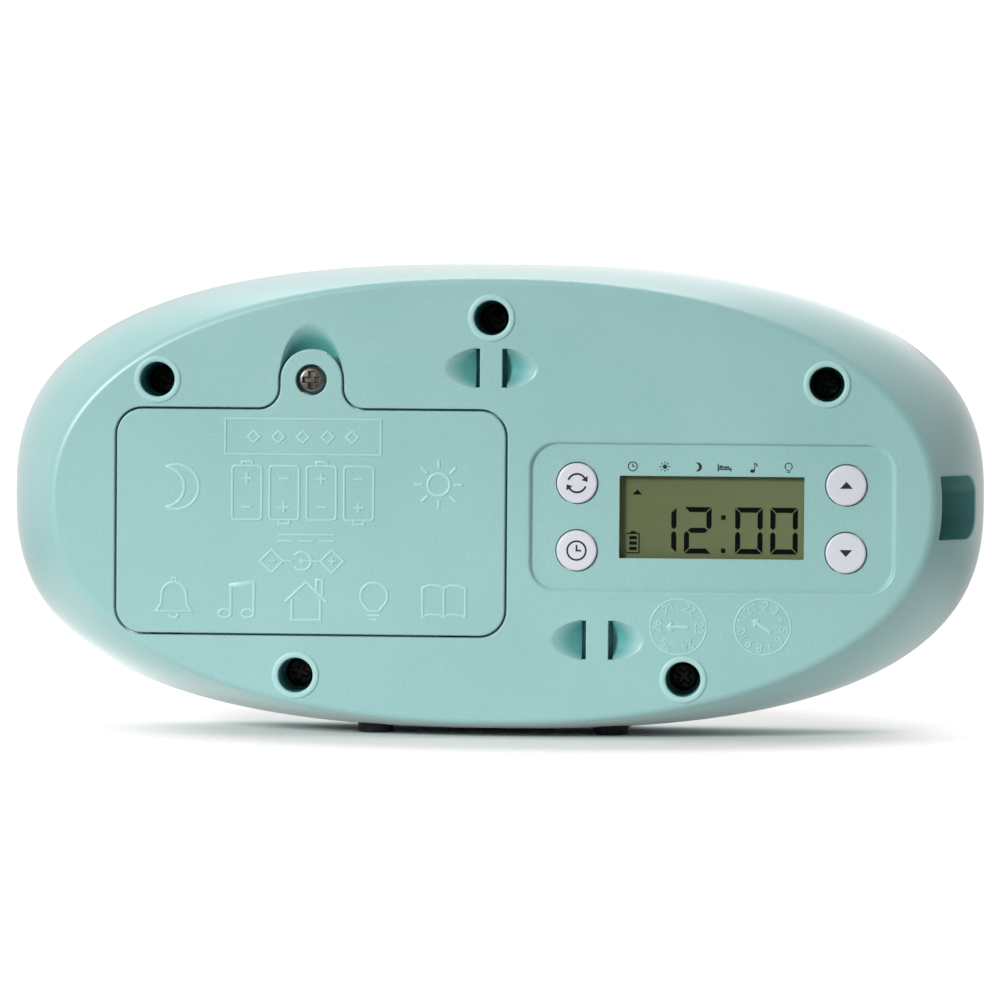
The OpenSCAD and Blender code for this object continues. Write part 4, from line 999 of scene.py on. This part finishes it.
def bell_sign(x, z):
    """Alarm bell: a dome with flared sides, a foot line and a clapper."""
    outline = np.concatenate([[(x + 4.6, z - 3.2), (x + 3.3, z - 1.6)],
                              arc(x, z + 1, 3.1, 0, 180, 20),
                              [(x - 3.3, z - 1.6), (x - 4.6, z - 3.2)]])
    return [line(outline, 0.5, True), bow(x, z - 3.6, 1.2, 200, 340),
            bow(x, z + 4.7, 0.55, -60, 240, 0.4)]


def pair_of_notes(x, z):
    """Two joined notes: oval heads, stems and a slanted beam."""
    heads = [line([x + at + 0.9, z - 3.4] + [1.5, 1.05] * disc(0, 0, 1, 0, 24), 0.5, True)
             for at in (-2.9, 2.9)]
    return heads + lines(x, z, [(2.3, -3.3), (2.3, 3.4)], [(-3.5, -3.3), (-3.5, 4.4)]) + lines(
        x, z, [(2.5, 3.5), (-3.7, 4.5)], width=0.9)


def book_sign(x, z):
    """Open book: two leaves that dip to the fold in the middle."""
    leaf = [(0.0, -3.6), (1.4, -3.0), (4.0, -3.0), (5.4, -3.7), (5.4, 3.7), (4.0, 4.3),
            (1.4, 4.3), (0.0, 3.6)]
    return lines(x, z, leaf, [(-a, b) for a, b in leaf]) + lines(
        x, z, [(0, -3.6), (0, 3.6)], width=0.45)


def lamp_sign(x, z):
    """Night light: a bulb's round glass on a short ribbed socket."""
    return [bow(x, z + 1.2, 3.4, -52, 232)] + lines(
        x, z, [(-1.5, -2.6), (1.5, -2.6)], [(-1.5, -3.7), (1.5, -3.7)],
        [(-0.8, -4.8), (0.8, -4.8)], [(2.1, -1.5), (1.4, -2.5)], [(-2.1, -1.5), (-1.4, -2.5)])


frame_x, frame_z = 47.1, 75.3
signs = [box_line(frame_x, frame_z, 39.2, 8.9, 0.2, 0.4)]
signs += [diamond(frame_x + k * 6.2, frame_z, 1.5) for k in range(-2, 3)]
for k in range(4):
    signs += cell_sign(frame_x + (1.5 - k) * 9.4, 61.2, 1 if k % 2 == 0 else -1)
signs += direct_current_sign(46.2, 49.9) + plug_sign(47.2, 44.1)
signs += [line(crescent(79.0, 62.5, 5.6, 30), 0.55, True)] + sun_sign(12.9, 63.6, 6.0)
signs += bell_sign(79.5, 34.4) + pair_of_notes(62.8, 34.2) + house_sign(46.1, 34.3)
signs += lamp_sign(29.0, 34.3) + book_sign(11.4, 34.0)
# The door's marks take the lighter copy of the mint, a painted highlight on their ridges.
place_piece(put_mesh("door_marks", *join(signs)), mint_mark_highlight, "door", "housing")

# ------------------------------------------------------------------ screws
# Five black case screws lie deep in the wells, with cross recesses. The door's captive
# screw is zinc plated and sits in the cup of its tab.


def cross_screw(name, x, z, seat_y, head_r, head_h, shank_r, shank_l, turned=0.0):
    """Pan-head screw along Y. The head is a height field on a polar grid: a low dome less a
    cross recess whose depth follows the distance to two crossed bars. The shank's radius is
    a saw-tooth of its height plus its angle, which makes a thread."""
    q = turn(120)
    rows = []
    for r in np.concatenate([np.linspace(0.001, 0.78, 26), np.linspace(0.82, 1, 7)]) * head_r:
        a, b = np.abs(r * np.cos(q - turned)), np.abs(r * np.sin(q - turned))
        bar = head_r * 0.2
        from_bar = np.minimum(np.maximum(a - 0.64 * head_r, b - bar),
                              np.maximum(b - 0.64 * head_r, a - bar))
        cut = np.clip(0.35 - from_bar / (0.1 * head_r), 0, 1)
        bevel = 0.3 * head_h * max(0, (r / head_r - 0.72) / 0.28) ** 2.4
        top = head_h - 0.12 * head_h * (r / head_r) ** 2 - bevel
        y = seat_y + top - 0.5 * head_h * cut * cut * (3 - 2 * cut)
        rows.append(np.stack([x + r * np.cos(q), y, z + r * np.sin(q)], -1))
    rows += [flat_ring(disc(x, z, r, 0, 120), seat_y) for r in (head_r, shank_r)]
    for down in np.linspace(0.2, shank_l - 1.2, int(shank_l * 5)):
        saw = np.abs(((down / 1.1 + q / (2 * pi)) % 1) * 2 - 1)
        r = shank_r * (0.78 + 0.22 * saw)
        rows.append(flat_ring(np.stack([x + r * np.cos(q), z + r * np.sin(q)], -1),
                              seat_y - down))
    rows.append(flat_ring(disc(x, z, 0.05, 0, 120), seat_y - shank_l))
    return stack(name, rows)


black_steel = steel("blackened_steel", (56, 54, 52), 0.3, (1, 4, 1))
for k, ((x, z), turned) in enumerate(zip(well_points, (0.35, 0.17, 0.5, 0.3, 0.72))):
    screw = cross_screw(f"case_screw_{k + 1}", x, z, well_floor_y, head_r=3.6, head_h=2.2,
                        shank_r=1.5, shank_l=16, turned=turned)
    place_piece(screw, black_steel, "housing", "black_steel", "case_screws")
zinc = steel("zinc_plated_screw", (138, 134, 126), 0.24, (1, 4, 1))
door_screw = cross_screw("tab_screw", door_x, tab_z, cup_floor_y + 0.03, head_r=3.4,
                         head_h=2.0, shank_r=1.5, shank_l=4.5)
place_piece(door_screw, zinc, "screw", "steel", "door_screw")

# ------------------------------------------------------------------ buttons
# Four white caps with printed signs slide through round holes in the sunk panel. Each has
# a flange inside and a stem that presses the plunger of a switch on the board.

print_t = 0.03
hole_wall, flange_gap, flange_t, flange_r, stem_r = 1.6, 0.15, 1.2, 6.3, 2.0


def cap(name, x, z):
    """Turned shape of a cap: radius and depth along its profile, from the middle of its face
    over a round edge, down the flange and the stem."""
    low, high = limits(name)
    top, stem_low = high[1], low[1]
    flange_top = recess_y - hole_wall - flange_gap
    edge = [(button_r - 0.55 * (1 - sin(q)), top - 0.55 * (1 - cos(q)))
            for q in np.linspace(0, pi / 2, 9)]
    profile = [(0.01, top), (2.5, top)] + edge + [
        (button_r, flange_top), (flange_r, flange_top), (flange_r, flange_top - flange_t),
        (stem_r, flange_top - flange_t), (stem_r, stem_low + 0.2), (stem_r - 0.2, stem_low),
        (0.01, stem_low)]
    return stack(name + "_cap", [flat_ring(disc(x, z, r, 0, 96), y) for r, y in profile])


def patch(outline, y, thick=print_t):
    """Thin printed patch: an outline between two depths. Returns points and faces."""
    outline = np.asarray(outline, float)
    count = len(outline)
    index = np.arange(count)
    after = np.roll(index, -1)
    walls = np.stack([index, after, after + count, index + count], -1).tolist()
    return (np.concatenate([flat_ring(outline, y - 0.01), flat_ring(outline, y + thick)]),
            walls + [index.tolist(), (index + count).tolist()])


def stroke(points, width, y, thick=print_t):
    """Printed line: a band of even width along [x, z] points, mitred at its corners."""
    points = np.asarray(points, float)
    ahead = np.diff(points, axis=0)
    ahead /= np.linalg.norm(ahead, axis=1)[:, None]
    joint = np.concatenate([ahead[:1], ahead[:-1] + ahead[1:], ahead[-1:]])
    joint /= np.linalg.norm(joint, axis=1)[:, None]
    normal = np.stack([-joint[:, 1], joint[:, 0]], -1)
    first = np.concatenate([ahead[:1], ahead])
    reach = width / 2 / np.clip((joint * first).sum(1), 0.5, 1)
    return patch(np.concatenate([points + normal * reach[:, None],
                                 (points - normal * reach[:, None])[::-1]]), y, thick)


def strokes(x, z, y, *bars):
    """Printed lines about x, z: each bar is a width and its points' offsets [x, z]."""
    return [stroke([(x + a, z + b) for a, b in path], width, y) for width, *path in bars]


def hoop(x, z, r, width, y, start=0.0, end=359.0):
    """Printed ring or arc about x, z; angles are in degrees."""
    return stroke(arc(x, z, r, start, end, 32), width, y)


def mode_sign(x, z, y):
    """Mode: two arrows that follow each other round a ring."""
    shapes = []
    for start in (20, 200):
        shapes.append(hoop(x, z, 2.3, 0.5, y, start, start + 125))
        q = radians(start + 125)
        tip = np.array([x + 2.3 * cos(q), z + 2.3 * sin(q)])
        along, out = np.array([-sin(q), cos(q)]), np.array([cos(q), sin(q)])
        shapes.append(patch([tip + along * 1.25, tip + out * 0.95, tip - out * 0.95], y))
    return shapes


def clock_sign(x, z, r, width, y):
    """Clock face: a ring and two hands."""
    return [hoop(x, z, r, width, y)] + strokes(
        x, z, y, (width, (0, 0.62 * r), (0, 0), (-0.5 * r, 0)))


def black_ink(place, link):
    """Screen-printed ink, a little thin at random spots."""
    thin = place.noise(0.3, 3, 0.6)
    link("Base Color", thin.ramp(0.5, 0.9).mix(rgb(16, 18, 20), rgb(32, 35, 37)))
    link("Roughness", thin * 0.2 + 0.42)


ink = finish("black_ink", black_ink)
cap_white = moulded("white_button_abs", (216, 219, 226), (211, 214, 221), 0.34, 0.4, 0.006,
                    Coat_Weight=0.1)
for name, (x, z) in button_points.items():
    top = limits(name)[1][1]
    key = name.replace("button", "key")
    place_piece(cap(name, x, z), cap_white, key, "button", name)
    if name == "mode_button":
        sign = mode_sign(x, z, top)
    elif name == "set_button":
        sign = clock_sign(x, z, 2.35, 0.45, top)
    else:
        up = 1 if name == "up_button" else -1
        sign = [patch([(x + 1.6, z - up * 0.8), (x - 1.6, z - up * 0.8), (x, z + up * 0.95)], top)]
    place_piece(put_mesh(name + "_sign", *join(sign), smooth=False), ink, key, "button")
black_plastic = moulded("black_abs", (36, 37, 39), (30, 31, 33), 0.42, 0.5, 0.02)
cover(black_plastic, "tact_switches", "mode_plunger", "set_plunger", "up_plunger", "down_plunger")

# ------------------------------------------------------------------ display
# Reflective liquid crystal display behind a clear window: black segments read 12:00, with a
# marker under the first sign and a battery gauge. Six function signs are printed above it.


def segments(x, z, lit, width=6.9, height=11.7, bar=1.3, gap=0.2):
    """Seven-segment digit, its middle at x, z. Each segment is a bar with mitred ends, and
    lit names the segments that show. The digit's right-hand side lies towards -X."""
    w, h, t = width / 2, height / 2, bar
    shapes = {
        "top": [(-w, h), (w, h), (w - t, h - t), (t - w, h - t)],
        "bottom": [(-w, -h), (w, -h), (w - t, t - h), (t - w, t - h)],
        "middle": [(-w + 0.7 * t, 0), (t - w + 0.3 * t, t / 2), (w - 1.3 * t, t / 2),
                   (w - 0.7 * t, 0), (w - 1.3 * t, -t / 2), (t - w + 0.3 * t, -t / 2)]}
    for name, sx, sz in (("ul", -1, 1), ("ur", 1, 1), ("ll", -1, -1), ("lr", 1, -1)):
        shapes[name] = [(sx * w, sz * (h - gap)), (sx * (w - t), sz * (h - t - gap)),
                        (sx * (w - t), sz * (t / 2 + gap)), (sx * (w - t / 2), sz * gap),
                        (sx * w, sz * (gap + t / 2))]
    for name in ("top", "bottom"):
        shapes[name] = [(a * (1 - gap / w), b) for a, b in shapes[name]]
    return [[(x - a, z + b) for a, b in shapes[name]] for name in lit.split()]


lcd_face_y = limits("lcd_glass")[1][1]
digit_z = 52.65
one, two, zero = "ur lr", "top ur middle ll bottom", "top ul ur ll lr bottom"
digits = [bar for x, lit in zip((-43.2, -52.0, -64.8, -73.6), (one, two, zero, zero))
          for bar in segments(x, digit_z, lit)]
digits += [soft_rect(-58.4, z, 1.15, 1.15, 0.08, 0, 2) for z in (55.9, 47.6)]
digits.append([(-35.6, 61.5), (-38.0, 61.5), (-36.8, 62.75)])
gauge_x, gauge_z = -35.8, 49.3
digits += [soft_rect(gauge_x, gauge_z + k * 1.35, 1.9, 0.85, 0.05, 0, 2) for k in (-1, 0, 1)]
digits.append(soft_rect(gauge_x, gauge_z + 2.75, 1.3, 0.5, 0.05, 0, 2))
shapes = [patch(outline, lcd_face_y, 0.02) for outline in digits]
case_line = soft_rect(gauge_x, gauge_z, 3.0, 4.9, 0.2, 0, 3)
shapes.append(stroke(np.concatenate([case_line, case_line[:1]])[:-1], 0.32, lcd_face_y, 0.02))
digits_piece = put_mesh("lcd_segments", *join(shapes), smooth=False)


def crystal_black(place, link):
    """Switched-on liquid crystal: near black with a green cast."""
    link("Base Color", place.noise(2.0, 2).mix(rgb(5, 7, 5), rgb(11, 14, 10)))
    link("Roughness", place.noise(0.5, 2) * 0.1 + 0.4)


place_piece(digits_piece, finish("liquid_crystal", crystal_black, Specular_IOR_Level=0.05),
            "housing", "display")


def crystal_grey(place, link):
    """Olive reflector film behind the glass: fine sparkle, and painted shade towards +X."""
    x = place.axis("X")
    sparkle = place.noise(0.28, 3, 0.7)
    # Painted shade: the tone darkens towards +X, where the opening's wall would shade the film.
    drift = ((x + 78) * 0.02 + place.noise(14, 2) * 0.3).ramp(0.0, 1.1)
    tone = drift.mix(rgb(103, 114, 74), rgb(91, 103, 61))
    link("Base Color", (sparkle.ramp(0.3, 0.8) * 0.42).mix(tone, rgb(112, 123, 82)))
    link("Roughness", sparkle * 0.15 + 0.42)


def clear(place, link):
    """Clear acrylic: next to no colour, with faint wipe marks in its gloss."""
    wipe = place.noise(6, 3)
    link("Base Color", wipe.mix(rgb(58, 62, 61), rgb(50, 54, 53)))
    link("Roughness", wipe * 0.05 + 0.04)


cover(finish("reflector_film", crystal_grey), "lcd_glass")
cover(finish("clear_acrylic", clear, Alpha=0.02), "display_window")
cream = moulded("cream_nylon", (232, 226, 208), (224, 217, 198), 0.4, 0.6, 0.02)
cover(cream, "lcd_holder", "lead_connectors")
cover(moulded("conductive_rubber", (190, 92, 122), (176, 82, 112), 0.6, 0.4, 0.02), "zebra_strips")


def sun_print(x, z, r, y):
    """Printed sun: a disc and eight short rays."""
    rays = ((0.24, *((a * cos(q), a * sin(q)) for a in (0.72 * r, 1.12 * r))) for q in turn(8))
    return [patch(disc(x, z, 0.48 * r, 0, 28), y)] + strokes(x, z, y, *rays)


def bed_print(x, z, y):
    """Printed bed for a nap: a headboard, a low mattress and a pillow."""
    return strokes(x, z, y, (0.26, (1.6, 0.9), (1.6, -1.1)), (0.36, (1.6, -0.5), (-1.6, -0.5)),
                   (0.26, (-1.6, -0.1), (-1.6, -1.1))) + [
        patch(soft_rect(x + 0.85, z + 0.1, 1.0, 0.55, 0.2, 0, 4), y),
        patch(soft_rect(x - 0.5, z, 1.5, 0.4, 0.15, 0, 4), y)]


def note_print(x, z, y):
    """Printed note: an oval head, a stem and a flag."""
    return [patch([x + 0.5, z - 0.9] + [0.62, 0.45] * disc(0, 0, 1, 0, 20), y)] + strokes(
        x, z, y, (0.22, (-0.02, -0.9), (-0.02, 1.15)),
        (0.3, (-0.02, 1.1), (-0.5, 0.75), (-0.75, 0.2)))


def lamp_print(x, z, y):
    """Printed bulb: an open ring of glass on two short bars."""
    return [hoop(x, z + 0.3, 0.88, 0.24, y, -55, 235)] + strokes(
        x, z, y, (0.24, (-0.5, -0.75), (0.5, -0.75)), (0.22, (-0.38, -1.15), (0.38, -1.15)))


label_y, label_z = recess_y + 0.006, 68.6
labels = (clock_sign(-35.65, label_z, 1.12, 0.25, label_y)
          + sun_print(-43.7, label_z, 1.15, label_y)
          + [patch(crescent(-51.8, label_z, 1.15, 26), label_y)]
          + bed_print(-58.6, label_z, label_y) + note_print(-66.1, label_z, label_y)
          + lamp_print(-74.6, label_z, label_y))
place_piece(put_mesh("panel_signs", *join(labels), smooth=False), ink, "housing", "housing")

# ------------------------------------------------------------------ main board
# Green circuit board on four posts of the rear housing, with its chips, crystal, capacitors
# and lead sockets on the inner side.

cover(circuit("green_circuit_board", (28, 104, 60), (52, 132, 78), 1.9), "main_board")
cover(nickel, "board_screws", "crystal", "jack_pin")
chip_black = moulded("chip_epoxy", (40, 41, 43), (33, 34, 36), 0.55, 0.2, 0.01)
cover(chip_black, "controller_chip", "sound_chip")
cover(moulded("capacitor_sleeve", (40, 50, 62), (34, 43, 54), 0.25, 0.8, 0.004), "capacitors")

# ------------------------------------------------------------------ power socket and feet
# Black barrel socket at the back of the plug pocket, and four round rubber feet glued into
# their sockets under the clock.

cover(black_plastic, "dc_jack")
rubber = moulded("foot_rubber", (30, 31, 32), (25, 26, 27), 0.7, 0.35, 0.03)


def foot(x, y):
    """Turned foot: a flat sole with a round edge, a short wall and a flat top."""
    sole = [(foot_r - 0.6 * (1 - sin(q)), 0.6 * (1 - cos(q))) for q in np.linspace(0, pi / 2, 6)]
    profile = [(0.01, 0), (2, 0)] + sole + [(foot_r, foot_top), (0.01, foot_top)]
    rings = []
    for r, z in profile:
        flat = disc(x, y, r, 0, 64)
        rings.append(np.stack([flat[:, 0], flat[:, 1], np.full(64, z)], -1))
    return stack("foot", rings)


feet = [foot(x, y) for x, y in foot_points]
for k, piece in enumerate(feet):
    piece.name = f"foot_{k + 1}"
    place_piece(piece, rubber, "housing", "foot_rubber", "feet")

# ------------------------------------------------------------------ leads
# Pairs of stranded leads in soft sleeves join the bay, speaker, light and socket to the
# board. They keep the frame's routes.


def sleeve(name, tone):
    """Soft PVC sleeve, faintly rippled by the strands inside."""
    return moulded(name, tone, tuple(0.9 * v for v in tone), 0.45, 0.9, 0.02)


cover(sleeve("red_sleeve", (176, 38, 36)), "battery_leads")
cover(sleeve("black_sleeve", (40, 40, 42)), "speaker_leads", "jack_leads")
cover(sleeve("white_sleeve", (226, 224, 218)), "light_leads")

# ------------------------------------------------------------------ stage
# White paper under the clock, a bright backdrop, two soft lamps and the camera, which looks at
# the clock's back from a little above.


def paper_sweep(place, link):
    """White paper that fades out into the white backdrop away from the clock. The camera sees
    it fade sooner than the light does, so the shadow ends close to the clock."""
    link("Base Color", place.noise(60).ramp(0, 1).mix(rgb(252, 247, 246), rgb(255, 250, 249)))
    x, y = place.axis("X"), place.axis("Y")
    behind, front = y.math("MINIMUM", y), y.math("MAXIMUM", y)
    fade = (x * x + y * y + behind * behind * 3).root().ramp(130, 300)
    shade_x = x + 10
    soon = (shade_x * shade_x + y * y + front * front * 1.1).root().ramp(78, 128)
    link("Alpha", 1 - fade - place.node("LightPath") * (soon - fade))


white = finish("paper", paper_sweep, Roughness=0.9)
corners = [(-9000, -30000, 0), (9000, -30000, 0), (9000, 4000, 0), (-9000, 4000, 0)]
floor = put_mesh("floor", corners, [[0, 1, 2, 3]], False)
floor.data.materials.append(white)

sky = bpy.data.worlds.new("studio")
bpy.context.scene.world = sky
sky.use_nodes = True
air = sky.node_tree
look = Socket(air, air.nodes.new("ShaderNodeTexCoord").outputs["Generated"])
glow = look.node("VectorMath", {"operation": "DOT_PRODUCT"}, {0: look, 1: (0.03, -0.46, 0.14)}, 1)
air.nodes["Background"].inputs["Color"].default_value = (1, 1, 1, 1)
seen = look.node("LightPath")
above = look.node("SeparateXYZ", None, {0: look}, 2).ramp(-0.25, 0.05) * 0.85 + 0.15
strength = (glow + 0.53) * above * (1 - seen) + seen * 1.08
air.links.new(strength.socket, air.nodes["Background"].inputs["Strength"])


def softbox(name, place, aim, size, power):
    """Square area light that looks from place to aim."""
    lamp = bpy.data.lights.new(name, "AREA")
    lamp.size, lamp.energy = size * MM, power
    made = bpy.data.objects.new(name, lamp)
    way = Vector(aim) - Vector(place)
    made.matrix_world = Matrix.Translation(Vector(place) * MM) @ way.to_track_quat(
        "-Z", "Y").to_matrix().to_4x4()
    bpy.context.scene.collection.objects.link(made)


middle = (0, 0, 60)
softbox("key", (870, 1320, 615), middle, size=360, power=21.6)
softbox("rim", (60, -420, 800), middle, size=520, power=2.0)

eye = Vector((-75.0, panel_y + 1250, 97.0))
yaw, pitch, roll = radians(3.32), radians(-1.697), radians(0.443)
view = Vector((sin(yaw) * cos(pitch), -cos(yaw) * cos(pitch), sin(pitch)))
side = view.cross(Vector((0, 0, 1))).normalized()
up = side.cross(view)
right_hand = cos(roll) * side + sin(roll) * up
upright = cos(roll) * up - sin(roll) * side
lens = bpy.data.cameras.new("camera")
lens.lens, lens.sensor_width = 180, 36
lens.clip_start, lens.clip_end = 0.05, 100
camera = bpy.data.objects.new("camera", lens)
turned = Matrix((right_hand, upright, -view)).transposed()
camera.matrix_world = Matrix.Translation(eye * MM) @ turned.to_4x4()
bpy.context.scene.collection.objects.link(camera)
bpy.context.scene.camera = camera
bpy.context.scene.view_settings.view_transform = "Standard"
